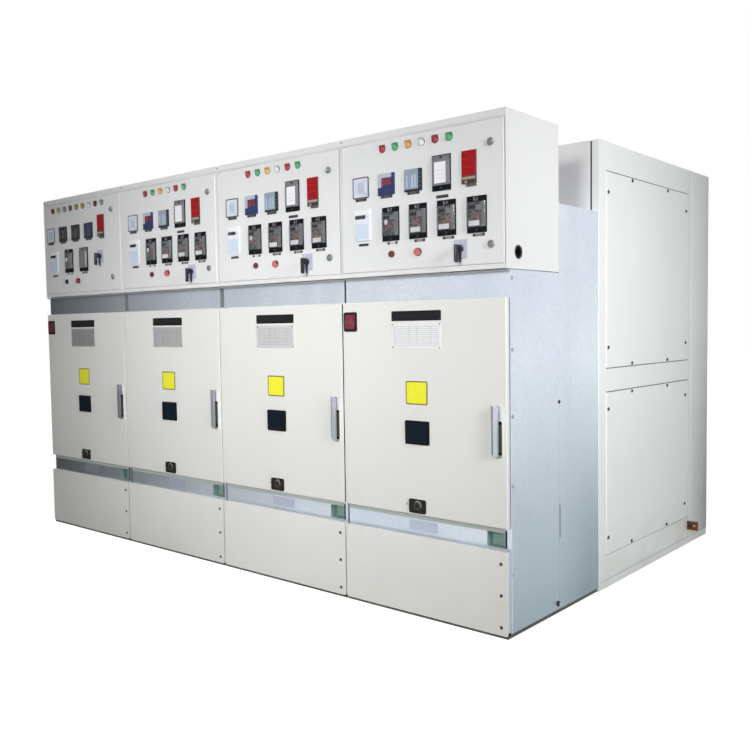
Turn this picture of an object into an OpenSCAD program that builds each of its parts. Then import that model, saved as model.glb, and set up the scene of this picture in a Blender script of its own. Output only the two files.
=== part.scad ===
// Four-bay metal-clad vacuum circuit breaker switchboard.
// Each bay has an instrument box over a breaker compartment with a hinged door
// and a bolted lower cover. One rear enclosure runs behind all four bays.
// Lengths are in millimetres. X runs along the line-up, -Y is the front, Z is up.
// The origin is on the floor, midway across the width and the depth.

/* [Line-up] */
// Width of one bay
bay_pitch = 900; // [750:10:1100]
// Depth from the door faces to the rear enclosure
front_d = 816; // [680:1:1000]
// Depth of the rear enclosure
rear_d = 1462; // [1200:1:1800]
// Height of the base frame under the front section
base_h = 20; // [12:1:60]

/* [Heights] */
// Bottom edge of the lower cover above the floor
cover_z = 12; // [8:1:18]
// Height of the bolted lower cover
cover_h = 352; // [290:1:430]
// Height of the galvanised strip between lower cover and breaker door
low_strip_h = 95; // [78:1:120]
// Height of the breaker door
door_h = 948; // [790:1:1140]
// Height of the galvanised strip between breaker door and instrument box
top_strip_h = 116; // [96:1:140]
// Height of the instrument box
box_h = 637; // [530:1:770]
// Height of the closed chamber behind the instrument box, above the box's underside
chamber_h = 299; // [240:1:360]

/* [Sheet metal] */
// Thickness of the housing sheet
sheet = 3; // [2:0.5:4]
// Thickness of the folded door sheet
door_sheet = 2; // [1.5:0.5:3]
// Width of the frame stiles and rails round the breaker opening
stile_w = 45; // [35:1:60]
// Distance from the door faces back to the galvanised front frame
frame_y = 25; // [23:1:35]

/* [Breaker door] */
// Depth of the folded breaker door
door_t = 20; // [16:1:22]
// Half of the gap between neighbouring breaker doors
door_gap = 3; // [2.5:0.5:5]
// Radius of the folded front edges
edge_r = 5; // [3:0.5:8]
// Width of the viewing window's bezel
window_w = 131; // [110:1:170]
// Height of the viewing window's bezel
window_h = 105; // [90:1:140]
// Length of the door handle's lever
lever_l = 206; // [150:1:230]

/* [Instrument box] */
// Depth of the instrument box
box_d = 430; // [350:1:520]
// Height of the fixed rail above the instrument door
top_rail = 28; // [20:1:40]
// Height of the fixed rail below the instrument door
bottom_rail = 15; // [10:1:25]
// Gap between the instrument door and its frame
inset_gap = 6; // [5.5:0.5:8]
// Depth of the folded instrument door
inst_t = 22; // [16:1:26]
// Radius of the cable entry in each end of the line-up
entry_r = 25; // [15:1:32]

/* [Instruments] */
// Side of a panel meter's square bezel
meter_w = 96; // [72:1:100]
// Width of a protection relay's bezel
relay_w = 96; // [80:1:100]
// Height of a protection relay's bezel
relay_h = 150; // [130:1:160]
// Width of the alarm annunciator
alarm_w = 73; // [60:1:90]
// Diameter of a pilot lamp's bezel
lamp_d = 36; // [22:1:42]
// Diameter of the flat push button
button_d = 31; // [22:1:42]
// Diameter of the mushroom push button
mushroom_d = 36; // [28:1:42]
// Depth of the relays behind the door
relay_depth = 118; // [60:1:150]
// How far a relay's clear cover stands out of its bezel
relay_cover = 6; // [4:1:24]

/* [Rear enclosure] */
// How far the end wall covers stand proud
cover_t = 3; // [2:0.5:5]
// Margin of the end covers from the enclosure's front edge
end_margin = 79; // [50:1:120]
// Margin of the end covers from the enclosure's rear edge
end_rear_margin = 326; // [200:1:380]
// Margin of the rear covers from each bay's sides
rear_margin = 40; // [25:1:60]
// How far the earth bar's ends stand out of the end walls
earth_out = 62; // [45:1:80]

/* [Hidden] */
bay_count = 4;
$fn = 48;

// Clearances shared by pieces that meet
running = 0.3;      // moving face to the face that carries it
shadow = 4;         // recess under the instrument box and round the lower covers

// Heights of the front, from the floor up
strip_z = cover_z + cover_h;
door_z = strip_z + low_strip_h;
door_top = door_z + door_h;
box_z = door_top + top_strip_h;
overall_h = box_z + box_h;
chamber_z = box_z + chamber_h;
cubicle_top = box_z - shadow;

total_w = bay_count * bay_pitch;
overall_d = front_d + rear_d;

// Base frame
base_rail = 60;             // width of its channels
base_inset = 6;             // how far it stands back from the cubicles' faces
base_rows = [frame_y + base_inset, front_d - base_rail];

// Doors
door_w = bay_pitch - 2 * door_gap;
inst_x = sheet + inset_gap;
inst_w = bay_pitch - 2 * inst_x;
inst_z = box_z + bottom_rail + inset_gap;
inst_h = box_h - bottom_rail - top_rail - 2 * inset_gap;
door_border = 22;           // width of the box-section border behind a door
hinge_h = 60;               // height of a hinge block
hinge_w = 17;               // width of the hinge face that carries a door
turn_x = 2 * edge_r;        // a door's back corner swings clear up to here from its hinged edge
turn_y = 2;                 // and no further back than this

// Breaker opening, behind the door
lap = 15;                   // how far a door or cover laps over the frame
open_z = door_z + lap;
open_h = door_h - 2 * lap;

// Door fittings, measured from the door's left and lower edges
fit_x = bay_pitch / 2 - 13; // the plates and window sit a little left of centre
window_x = fit_x + 3;
window_z = door_z + 0.388 * door_h;
blank_z = door_z + 0.573 * door_h;
blank_w = 120;
blank_h = 104;
plate_w = 273;
name_h = 44;
data_h = 115;
plate_gap = 9;
plate_top = door_top - 44;
plate_t = 1.5;
lens_w = 80;
lens_h = 90;
lens_t = 6;
socket_w = 92;
socket_h = 63;
socket_t = 8;
socket_z = door_z + 9 + socket_h / 2;
dish_w = 54;
dish_h = lever_l + 10;
dish_t = 6;
dish_x = bay_pitch - 49;
dish_z = door_z + 0.421 * door_h;
lever_y = 8;                // from the dish out to the lever's blade
lever_t = 12;
lever_w = 30;
hub_r = 15;
hub_z = dish_z + dish_h / 2 - hub_r - 2;

// Instrument rows, from the box's underside up
bezel_t = 5;
lamp_out = 10;
mushroom_out = 16;
body_gap = 4;               // how much smaller a device's body is than its bezel, each side
cover_side = 2;             // strip of a relay's bezel beside its clear cover
cover_end = 22;             // and the strip above and below it
button_row = 94;
switch_w = 70;
switch_h = 80;
switch_t = 4;
switch_drop = 3;            // the control switch's shaft is this much below the push buttons
row_low = button_row - switch_drop + switch_h / 2;
lamp_z = box_z + box_h - 75;
spare = box_h - row_low - 90 - 2 * relay_h;
row_1 = box_z + row_low + 0.18 * spare + relay_h / 2;
row_2 = row_1 + relay_h + 0.35 * spare;
button_z = box_z + button_row;
meter_drop = 13;            // the meters' centres are this much below the relays'
lock_in = [97, 71, 71, 71]; // from each bay's right edge to its locks
lock_r = 16;
lock_out = 9;
energy_w = 98;
energy_h = 142;

// Rear enclosure
core_w = total_w - 1;
groove_w = 10;
groove_d = 14;
end_post = 32;
joint_w = 4;
band = 120;                 // plain band between the lower and the upper covers
low_cover_z = 165;
up_cover_top = overall_h - 140;
mid_cover_z = 0.4725 * overall_h;
earth_t = 10;
earth_h = 50;
earth_z = 85;
earth_y = front_d + rear_d - 315;
earth_hole_r = 6.5;

// Bays whose breaker door carries the square red lens
lens_bays = [1, 4];

// ---- Placing and shared shapes ----

// Shifts a shape drawn with the door faces at y = 0 to the model's origin.
module placed() {
    translate([0, -overall_d / 2, 0]) children();
}

// Places a shape drawn in one bay's own corner: x = 0 is the bay's left edge.
module in_bay(n) {
    translate([-total_w / 2 + (n - 1) * bay_pitch, -overall_d / 2, 0]) children();
}

// Box given by its lowest corner and its size.
module block(corner, size) {
    translate(corner) cube(size);
}

// Box centred in X and Z on a point, running from y0 to y1.
module front_block(x, z, w, h, y0, y1) {
    translate([x - w / 2, y0, z - h / 2]) cube([w, y1 - y0, h]);
}

// Cylinder along Y, from y0 to y1.
module front_disc(x, z, r, y0, y1) {
    translate([x, y1, z]) rotate([90, 0, 0]) cylinder(r = r, h = y1 - y0);
}

// Plate in the XZ plane with rounded corners, from y0 to y1.
module front_plate(x, z, w, h, r, y0, y1) {
    translate([x - w / 2, y1, z - h / 2]) rotate([90, 0, 0]) linear_extrude(y1 - y0) {
        translate([r, 0]) square([w - 2 * r, h]);
        translate([0, r]) square([w, h - 2 * r]);
        for (cx = [r, w - r], cz = [r, h - r]) translate([cx, cz]) circle(r);
    }
}

// Outline of a folded door across its sheet: front corners rounded, back corners square.
module pan_plan(w, t, r) {
    translate([0, r]) square([w, t - r]);
    translate([r, 0]) square([w - 2 * r, t]);
    for (cx = [r, w - r]) translate([cx, r]) circle(r);
}

// Folded door with its left front edge at the origin, all four front edges rounded, hollow behind its sheet.
module pan_door(w, h, t) {
    difference() {
        intersection() {
            linear_extrude(h) pan_plan(w, t, edge_r);
            translate([0, 0, h]) rotate([0, 90, 0]) linear_extrude(w) pan_plan(h, t, edge_r);
        }
        block([door_border, door_sheet, door_border], [w - 2 * door_border, t, h - 2 * door_border]);
    }
}

// ---- Front section ----

// Two dark channels along the front section's foot.
module base_rails() {
    color([0.16, 0.18, 0.18]) placed() for (y = base_rows)
        block([-total_w / 2 + base_inset, y, 0], [total_w - 2 * base_inset, base_rail, base_h]);
}

// Ties between the two channels, one under each joint between bays and one at each end.
module base_ties() {
    reach = total_w / 2 - base_inset - base_rail / 2;
    from = base_rows[0] + base_rail;
    color([0.16, 0.18, 0.18]) placed() for (i = [0 : bay_count]) {
        x = max(-reach, min(reach, (i - bay_count / 2) * bay_pitch));
        block([x - base_rail / 2, from, 0], [base_rail, base_rows[1] - from, base_h]);
    }
}

// Galvanised housing of one bay: breaker compartment, closed base and rear chamber.
module cubicle(n) {
    depth = front_d - frame_y;
    rebate = 5;
    color([0.74, 0.78, 0.83]) in_bay(n) {
        difference() {
            union() {
                block([0, frame_y, base_h], [bay_pitch, depth, cubicle_top - base_h]);
                block([0, box_d, base_h], [bay_pitch, front_d - box_d, chamber_z - base_h]);
            }
            // breaker compartment and its doorway
            block([sheet, frame_y + sheet, open_z],
                  [bay_pitch - 2 * sheet, depth - 2 * sheet, cubicle_top - sheet - open_z]);
            block([stile_w, frame_y - 1, open_z], [bay_pitch - 2 * stile_w, depth / 2, open_h]);
            // open corner of the lower strip
            block([bay_pitch - 118, frame_y - 1, strip_z + 8], [88, 46, low_strip_h - 18]);
            // shadow joints between bays, down the front edges
            if (n > 1) block([-1, frame_y - 1, base_h - 1], [rebate + 1, 15, cubicle_top]);
            if (n < bay_count)
                block([bay_pitch - rebate, frame_y - 1, base_h - 1], [rebate + 1, 15, cubicle_top]);
        }
        for (z = hinge_places(door_z, door_h))
            block([door_gap + turn_x, door_t + running, z],
                  [hinge_w, frame_y - door_t - running + 0.5, hinge_h]);
    }
}

// Heights of three hinge blocks on a door.
function hinge_places(z, h) = [z + 0.12 * h, z + 0.5 * h - hinge_h / 2, z + 0.88 * h - hinge_h];

// Bolted cream covers at the foot of the bays.
module lower_covers() {
    color([0.87, 0.87, 0.83]) for (n = [1 : bay_count]) in_bay(n) {
        front_plate(bay_pitch / 2, cover_z + cover_h / 2, door_w, cover_h, 12, 0, sheet);
        block([door_gap + 2 * shadow, sheet - 0.5, max(base_h, cover_z) + shadow],
              [door_w - 4 * shadow, frame_y - sheet + 0.5, strip_z - max(base_h, cover_z) - 2 * shadow]);
    }
}

// Instrument box of one bay, open at the front behind its door.
module instrument_box(n) {
    rail_d = inst_t + 3;
    color([0.90, 0.90, 0.90]) in_bay(n) difference() {
        union() {
            difference() {
                block([0, 0, box_z], [bay_pitch, box_d, box_h]);
                block([sheet, -1, box_z + sheet],
                      [bay_pitch - 2 * sheet, box_d - sheet + 1, box_h - 2 * sheet]);
            }
            block([0, 0, box_z], [bay_pitch, rail_d, bottom_rail]);
            block([0, 0, overall_h - top_rail], [bay_pitch, rail_d, top_rail]);
            block([shadow * 3, shadow * 8, cubicle_top],
                  [bay_pitch - shadow * 6, box_d - shadow * 8, shadow]);
            for (z = hinge_places(inst_z, inst_h)) {
                block([0, inst_t + turn_y, z], [inst_x + turn_x + hinge_w, hinge_w, hinge_h]);
                block([inst_x + turn_x, inst_t + running, z], [hinge_w, hinge_w, hinge_h]);
            }
        }
        // the dividing sheets between bays stand back from the door faces
        if (n > 1) block([-1, -1, inst_z - inset_gap], [sheet + 1, 4, inst_h + 2 * inset_gap]);
        if (n < bay_count)
            block([bay_pitch - sheet, -1, inst_z - inset_gap], [sheet + 1, 4, inst_h + 2 * inset_gap]);
        if (n == 1) cable_entry(0);
        if (n == bay_count) cable_entry(bay_pitch);
    }
}

// Round cable entry through an end sheet whose mid-plane is near x.
module cable_entry(x) {
    translate([x - sheet - 1, 90, box_z + 69]) rotate([0, 90, 0]) cylinder(r = entry_r, h = 2 * sheet + 2);
}

// ---- Rear enclosure ----

// Closed painted housing behind the four bays.
module rear_enclosure() {
    color([0.86, 0.87, 0.86]) placed() difference() {
        block([-core_w / 2, front_d, 0], [core_w, rear_d, overall_h]);
        // open joint beside each front corner post
        for (s = [-1, 1])
            block([s * (total_w / 2 - end_post) - (s > 0 ? groove_w : 0), front_d - 1, -1],
                  [groove_w, groove_d + 1, overall_h + 2]);
        // joints between the bays, at the rear and on the roof
        for (i = [1 : bay_count - 1]) {
            x = -total_w / 2 + i * bay_pitch - joint_w / 2;
            block([x, overall_d - joint_w, 1], [joint_w, joint_w + 1, overall_h]);
            block([x, front_d + groove_d, overall_h - joint_w], [joint_w, rear_d, joint_w + 1]);
        }
    }
}

// Flat end walls of the rear enclosure.
module end_walls() {
    color([0.87, 0.88, 0.87]) placed() for (s = [0, 1]) mirror([s, 0, 0])
        block([core_w / 2, front_d, 0], [sheet, rear_d, overall_h]);
}

// Bolted covers, two on each end wall.
module end_covers() {
    x = core_w / 2 + sheet;
    color([0.88, 0.89, 0.88]) placed() for (s = [0, 1]) mirror([s, 0, 0]) {
        block([x, front_d + end_margin, low_cover_z],
              [cover_t, rear_d - end_margin - end_rear_margin, mid_cover_z - band / 2 - low_cover_z]);
        block([x, front_d + end_margin, mid_cover_z + band / 2],
              [cover_t, rear_d - end_margin - end_rear_margin, up_cover_top - mid_cover_z - band / 2]);
    }
}

// Bolted covers on the rear, two on each bay.
module rear_covers() {
    color([0.88, 0.89, 0.88]) for (n = [1 : bay_count]) in_bay(n) {
        w = bay_pitch - 2 * rear_margin;
        block([rear_margin, overall_d, low_cover_z], [w, cover_t, mid_cover_z - band / 2 - low_cover_z]);
        block([rear_margin, overall_d, mid_cover_z + band / 2],
              [w, cover_t, up_cover_top - mid_cover_z - band / 2]);
    }
}

// Bolted plates on the roof, one on each bay.
module roof_plates() {
    color([0.84, 0.85, 0.84]) for (n = [1 : bay_count]) in_bay(n)
        block([rear_margin, front_d + rear_margin, overall_h],
              [bay_pitch - 2 * rear_margin, rear_d - 2 * rear_margin, cover_t]);
}

// Ends of the copper earth bar, each drilled for a connecting bolt.
module earth_bar() {
    x = core_w / 2 + sheet;
    color([0.55, 0.30, 0.20]) placed() for (s = [0, 1]) mirror([s, 0, 0]) difference() {
        block([x, earth_y, earth_z], [earth_out, earth_t, earth_h]);
        translate([x + earth_out - 22, earth_y - 1, earth_z + earth_h / 2]) rotate([-90, 0, 0])
            cylinder(r = earth_hole_r, h = earth_t + 2);
    }
}

// ---- Instrument doors ----

module instrument_door(n) {
    color([0.90, 0.90, 0.90]) in_bay(n) translate([inst_x, 0, inst_z]) pan_door(inst_w, inst_h, inst_t);
}

// One rectangular device: bezel in front of the door, body behind it, and a cover if it has one.
module device(x, z, w, h, depth, cover) {
    front_block(x, z, w, h, -bezel_t, 0);
    if (cover > 0) front_block(x, z, w - 2 * cover_side, h - 2 * cover_end, -bezel_t - cover, -bezel_t);
    front_block(x, z, w - 2 * body_gap, h - 2 * body_gap, door_sheet, door_sheet + depth);
}

// One round device: lamp, push button or lock.
module round_device(x, z, d, out, depth) {
    front_disc(x, z, d / 2, -out, 0);
    if (depth > 0) front_disc(x, z, d / 2 - body_gap, door_sheet, door_sheet + depth);
}

// Row of devices, each [width, height, drop, cover], spread between two margins.
module device_row(left, right, z, sizes, depth) {
    gap = (bay_pitch - left - right - total([for (s = sizes) s[0]])) / (len(sizes) - 1);
    for (i = [0 : len(sizes) - 1]) {
        before = total([for (j = [0 : 1 : i - 1]) sizes[j][0] + gap]);
        x = left + before + sizes[i][0] / 2;
        device(x, z - sizes[i][2], sizes[i][0], sizes[i][1], depth, sizes[i][3]);
    }
}

// Sum of a list.
function total(list, i = 0) = i >= len(list) ? 0 : list[i] + total(list, i + 1);

// Row of lamps spread between two margins.
module lamp_row(left, right, count) {
    pitch = (bay_pitch - left - right) / (count - 1);
    for (i = [0 : count - 1]) round_device(left + i * pitch, lamp_z, lamp_d, lamp_out, 40);
}

// Plate and shaft housing of a control switch.
module switch_base(x, z) {
    front_block(x, z, switch_w, switch_h, -switch_t, 0);
    front_block(x, z, switch_w - 16, switch_w - 16, door_sheet, door_sheet + 60);
}

// Centre of the control switch: the incomer's is beside its relays.
function switch_x(n) = n == 1 ? bay_pitch - 227 : bay_pitch - 220;
function switch_z(n) = n == 1 ? row_1 + 8 : button_z - switch_drop;

// Meters, relays, lamps, buttons and locks on one instrument door.
module instruments(n) {
    meter = [meter_w, meter_w, meter_drop, 0];
    relay = [relay_w, relay_h, 0, relay_cover];
    alarm = [alarm_w, relay_h - 3, 0, 0];
    color([0.13, 0.13, 0.14]) in_bay(n) {
        if (n == 1) {
            lamp_row(122, 198, 9);
            device_row(40, 180, row_2, [meter, meter, meter, meter, alarm], 70);
            // the energy meter, two relays and the control switch share one row
            energy_x = 120;
            from = energy_x + energy_w / 2;
            to = switch_x(1) - switch_w / 2;
            room = to - from - 2 * relay_w;
            left = from + 0.315 * room;
            right = bay_pitch - to + 0.4 * room;
            device(energy_x, row_1, energy_w, energy_h, relay_depth, 0);
            device_row(left, right, row_1, [relay, relay], relay_depth);
            round_device(270, button_z, button_d, lamp_out, 40);
            round_device(411, button_z, mushroom_d, mushroom_out, 40);
        } else {
            lamp_row(261, 275, 6);
            device_row(83, 139, row_2, [meter, meter, meter, relay, alarm], 70);
            device(137, row_1 + 8, energy_w, energy_h, relay_depth, 0);
            device_row(257, 91, row_1, [relay, relay, relay, relay], relay_depth);
            round_device(307, button_z, button_d, lamp_out, 40);
            round_device(456, button_z, mushroom_d, mushroom_out, 40);
        }
        switch_base(switch_x(n), switch_z(n));
        lock_x = bay_pitch - lock_in[n - 1];
        for (z = [lamp_z - 50, button_z + 8]) round_device(lock_x, z, 2 * lock_r, lock_out, 0);
    }
}

// Pistol grip that turns on the control switch's shaft: boss, hanging grip and pointer.
module control_switch(n) {
    boss_y = -22;
    x = switch_x(n);
    z = switch_z(n);
    color([0.06, 0.06, 0.07]) in_bay(n) {
        front_disc(x, z, 13, boss_y, -switch_t - running);
        front_plate(x, z - 20, 17, 75, 8, boss_y - 24, boss_y + 1);
        front_plate(x, z - 23, 15, 66, 7, boss_y + 5, -switch_t - 5.5);
    }
}

// ---- Breaker doors ----

module breaker_door(n) {
    color([0.87, 0.87, 0.83]) in_bay(n) difference() {
        translate([door_gap, 0, door_z]) pan_door(door_w, door_h, door_t);
        front_block(window_x, window_z, window_w - 24, window_h - 24, -1, door_t + 1);
    }
}

// Window, plates, lens, racking socket and handle dish on one breaker door.
module door_fittings(n) {
    color([0.10, 0.11, 0.12]) in_bay(n) {
        front_plate(window_x, window_z, window_w, window_h, 6, -8, 0);
        front_plate(fit_x, blank_z, blank_w, blank_h, 8, -plate_t, 0);
        front_plate(fit_x, plate_top - name_h / 2, plate_w, name_h, 3, -plate_t, 0);
        front_plate(fit_x, plate_top - name_h - plate_gap - data_h / 2, plate_w, data_h, 3, -plate_t, 0);
        front_plate(fit_x, socket_z, socket_w, socket_h, 6, -socket_t, 0);
        front_plate(dish_x, dish_z, dish_w, dish_h, 12, -dish_t, 0);
        if (len(search(n, lens_bays)) > 0)
            front_plate(14 + lens_w / 2, door_top - 88, lens_w, lens_h, 10, -lens_t, 0);
    }
}

// Lever that turns on the dish at the door's free edge.
module door_handle(n) {
    y = -dish_t - lever_y;
    color([0.48, 0.53, 0.60]) in_bay(n) {
        front_disc(dish_x, hub_z, hub_r, y - 1, -dish_t - running);
        front_plate(dish_x, hub_z + hub_r - lever_l / 2, lever_w, lever_l, 10, y - lever_t, y);
    }
}

base_rails();
base_ties();
cubicle(1);  // cubicle_1
cubicle(2);  // cubicle_2
cubicle(3);  // cubicle_3
cubicle(4);  // cubicle_4
lower_covers();
instrument_box(1);  // instrument_box_1
instrument_box(2);  // instrument_box_2
instrument_box(3);  // instrument_box_3
instrument_box(4);  // instrument_box_4
rear_enclosure();
end_walls();
end_covers();
rear_covers();
roof_plates();
earth_bar();
instrument_door(1);  // instrument_door_1
instrument_door(2);  // instrument_door_2
instrument_door(3);  // instrument_door_3
instrument_door(4);  // instrument_door_4
instruments(1);  // instruments_1
instruments(2);  // instruments_2
instruments(3);  // instruments_3
instruments(4);  // instruments_4
control_switch(1);  // control_switch_1
control_switch(2);  // control_switch_2
control_switch(3);  // control_switch_3
control_switch(4);  // control_switch_4
breaker_door(1);  // breaker_door_1
breaker_door(2);  // breaker_door_2
breaker_door(3);  // breaker_door_3
breaker_door(4);  // breaker_door_4
door_fittings(1);  // door_fittings_1
door_fittings(2);  // door_fittings_2
door_fittings(3);  // door_fittings_3
door_fittings(4);  // door_fittings_4
door_handle(1);  // door_handle_1
door_handle(2);  // door_handle_2
door_handle(3);  // door_handle_3
door_handle(4);  // door_handle_4
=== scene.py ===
# Four-bay switchboard: finishes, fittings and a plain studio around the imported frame
import math

import bmesh
import bpy
from mathutils import Matrix, Vector


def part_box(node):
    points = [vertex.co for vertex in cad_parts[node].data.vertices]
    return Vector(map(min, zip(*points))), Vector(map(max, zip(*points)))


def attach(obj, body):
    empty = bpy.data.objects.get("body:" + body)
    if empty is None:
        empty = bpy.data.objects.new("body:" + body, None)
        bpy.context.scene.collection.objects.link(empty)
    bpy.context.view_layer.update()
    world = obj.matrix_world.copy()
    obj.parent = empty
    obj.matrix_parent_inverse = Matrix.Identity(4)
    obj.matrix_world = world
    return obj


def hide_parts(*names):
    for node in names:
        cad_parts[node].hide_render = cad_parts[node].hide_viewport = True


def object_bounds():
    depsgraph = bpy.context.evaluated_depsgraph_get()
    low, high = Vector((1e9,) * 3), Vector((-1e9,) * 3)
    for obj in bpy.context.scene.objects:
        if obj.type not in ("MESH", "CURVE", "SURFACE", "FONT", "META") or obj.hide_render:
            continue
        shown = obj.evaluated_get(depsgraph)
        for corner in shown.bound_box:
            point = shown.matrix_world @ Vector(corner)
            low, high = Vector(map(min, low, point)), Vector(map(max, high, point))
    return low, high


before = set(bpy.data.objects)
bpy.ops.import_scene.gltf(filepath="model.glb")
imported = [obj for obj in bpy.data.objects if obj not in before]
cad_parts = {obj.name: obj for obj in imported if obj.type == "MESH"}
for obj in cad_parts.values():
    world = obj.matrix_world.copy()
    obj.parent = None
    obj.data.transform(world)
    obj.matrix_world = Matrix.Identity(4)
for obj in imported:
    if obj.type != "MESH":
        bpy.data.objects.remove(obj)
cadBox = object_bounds()
scene = bpy.context.scene
bays = (1, 2, 3, 4)
endBays = ((-1, 1), (1, 4))             # each end's side, and the bay there
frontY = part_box("breaker_door_1")[0].y  # plane of the door faces
stripY = frontY + 0.025                 # plane of the galvanised strips above and below the doors
floorZ = cadBox[0].z
finishes = {}                           # the materials by name
print("frame loaded")


def shade(red, green, blue):
    # screen colour, 0 to 255, as the linear colour that nodes work in
    parts = [value / 255 for value in (red, green, blue)]
    return [p / 12.92 if p <= 0.04045 else ((p + 0.055) / 1.055) ** 2.4 for p in parts] + [1.0]


def dimmed(colour, factor):
    return [part * factor for part in colour[:3]] + [1.0]


def addNode(tree, kind, inputs=None, **settings):
    node = tree.nodes.new("ShaderNode" + kind)
    for key, value in settings.items():
        setattr(node, key, value)
    for key, value in (inputs or {}).items():
        if isinstance(value, bpy.types.NodeSocket):
            tree.links.new(value, node.inputs[key])
        else:
            node.inputs[key].default_value = value
    return node


def startFinish(name, roughness, metallic=0.0, specular=0.5, coat=0.0):
    material = bpy.data.materials.new(name)
    material.use_nodes = True
    shader = material.node_tree.nodes["Principled BSDF"]
    for key, value in (("Roughness", roughness), ("Metallic", metallic), ("Specular IOR Level", specular),
                       ("Coat Weight", coat), ("Coat Roughness", 0.12)):
        shader.inputs[key].default_value = value
    finishes[name] = material
    return material.node_tree, shader


def place(tree, stretch=None):
    spot = addNode(tree, "TexCoord").outputs["Object"]
    if stretch:
        spot = addNode(tree, "Mapping", {"Vector": spot, "Scale": stretch}).outputs[0]
    return spot


def clouds(tree, scale, detail=4.0, stretch=None):
    inputs = {"Vector": place(tree, stretch), "Scale": scale, "Detail": detail, "Roughness": 0.55}
    return addNode(tree, "TexNoise", inputs).outputs[0]


def spread(tree, value, low, high, first=0.0, last=1.0):
    inputs = {"Value": value, "From Min": low, "From Max": high, "To Min": first, "To Max": last}
    return addNode(tree, "MapRange", inputs).outputs[0]


def patchy(tree, scale, detail, first, last):
    # soft patches between two values
    return spread(tree, clouds(tree, scale, detail), 0.3, 0.7, first, last)


def times(tree, first, second, operation="MULTIPLY"):
    return addNode(tree, "Math", {0: first, 1: second}, operation=operation).outputs[0]


def blendColour(tree, factor, first, second):
    return addNode(tree, "Mix", {0: factor, 6: first, 7: second}, data_type="RGBA").outputs[2]


def bumpFrom(tree, height, distance, strength, under=None):
    inputs = {"Height": height, "Distance": distance, "Strength": strength}
    if under:
        inputs["Normal"] = under
    return addNode(tree, "Bump", inputs).outputs[0]


def edgeMask(tree, radius):
    # 1 on sharp outer edges, where a coat is thin and handling wears it and where paint also gets a painted
    # highlight, 0 on flat faces
    soft = addNode(tree, "Bevel", {"Radius": radius}, samples=4).outputs[0]
    flat = addNode(tree, "NewGeometry").outputs["Normal"]
    turn = addNode(tree, "VectorMath", {0: soft, 1: flat}, operation="DOT_PRODUCT").outputs["Value"]
    return spread(tree, turn, 0.72, 0.97, 1.0, 0.0)


def tintedEdges(tree, tone, radius, amount, bare):
    return blendColour(tree, times(tree, edgeMask(tree, radius), amount), tone, bare)


def upwardMask(tree):
    # 1 where a face looks up and dust settles
    normal = addNode(tree, "NewGeometry").outputs["Normal"]
    return spread(tree, addNode(tree, "SeparateXYZ", {0: normal}).outputs[2], 0.6, 0.95)


def alongAxis(tree, axis):
    # place in metres along one of the object's axes
    return addNode(tree, "SeparateXYZ", {0: place(tree)}).outputs["xyz".index(axis)]


def join(tree, shader, colour, roughness, normal):
    for name, value in (("Base Color", colour), ("Roughness", roughness), ("Normal", normal)):
        tree.links.new(value, shader.inputs[name])


paintLook = {
    "cloudScale": 1.3, "cloudDepth": 0.965,     # broad drift of tone over a panel
    "streakScale": 9.0, "streakDepth": 0.985,   # faint upright wipe marks
    "streakStretch": (1.0, 1.0, 0.07),
    "grimeScale": 7.0, "grimeTop": 0.35,        # floor grime, and the height where it fades out
    "grimeTone": shade(120, 116, 104),
    "dustScale": 11.0, "dustTone": shade(172, 168, 158),
    "wearAndHighlightScale": 30.0, "wearAndHighlightRadius": 0.0025,
    "peelScale": 420.0, "peelHeight": 0.00006,  # orange peel, a couple of millimetres across
}


def orangePeel(tree):
    return bumpFrom(tree, clouds(tree, paintLook["peelScale"], 2.0), paintLook["peelHeight"], 0.6)


def paintFinish(name, colour, roughness, grime=0.1, dust=0.35, edge=None, specular=0.45):
    # powder coat with drifting tone, wipe marks, orange peel, edges tinted partly as wear and partly as a
    # painted highlight, dust on top and grime at the floor
    tree, shader = startFinish(name, roughness, specular=specular)
    look = paintLook
    drift = spread(tree, clouds(tree, look["cloudScale"]), 0.35, 0.65)
    tone = blendColour(tree, drift, colour, dimmed(colour, look["cloudDepth"]))
    streaks = spread(tree, clouds(tree, look["streakScale"], 3.0, look["streakStretch"]), 0.45, 0.7)
    tone = blendColour(tree, streaks, tone, dimmed(colour, look["streakDepth"]))
    low = spread(tree, alongAxis(tree, "z"), 0.0, look["grimeTop"], grime, 0.0)
    darkened = times(tree, low, patchy(tree, look["grimeScale"], 6.0, 0.4, 1.0))
    tone = blendColour(tree, darkened, tone, look["grimeTone"])
    settled = spread(tree, clouds(tree, look["dustScale"], 6.0), 0.3, 0.75, 0.2, dust)
    tone = blendColour(tree, times(tree, upwardMask(tree), settled), tone, look["dustTone"])
    # edge tint: partly wear, partly a painted highlight
    rubbedAndHighlit = spread(tree, clouds(tree, look["wearAndHighlightScale"]), 0.35, 0.7, 0.25, 0.9)
    tone = tintedEdges(tree, tone, look["wearAndHighlightRadius"], rubbedAndHighlit, edge or dimmed(colour, 1.12))
    join(tree, shader, tone, patchy(tree, 5.0, 5.0, roughness - 0.06, roughness + 0.08), orangePeel(tree))


postTones = {
    "lowFade": (0.1, 1.3),   # heights between which the painted shade fades
    "rearFade": 0.3,         # depth over which it grows towards the rear
    "bare": shade(246, 248, 247),
}


def postFinish(name, colour, darkened):
    # coat of the rear corner posts, with painted shade that darkens it low down and towards the rear edge
    tree, shader = startFinish(name, 0.42, specular=0.45)
    rear = cadBox[1].y
    low = spread(tree, alongAxis(tree, "z"), *postTones["lowFade"], 1.0, 0.16)
    rearward = spread(tree, alongAxis(tree, "y"), rear - postTones["rearFade"], rear, 0.1, 1.0)
    amount = times(tree, times(tree, low, rearward), patchy(tree, 7.0, 6.0, 0.8, 1.0))
    tone = tintedEdges(tree, blendColour(tree, amount, colour, darkened), 0.002, 0.6, postTones["bare"])
    join(tree, shader, tone, patchy(tree, 5.0, 5.0, 0.36, 0.5), orangePeel(tree))


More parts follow.
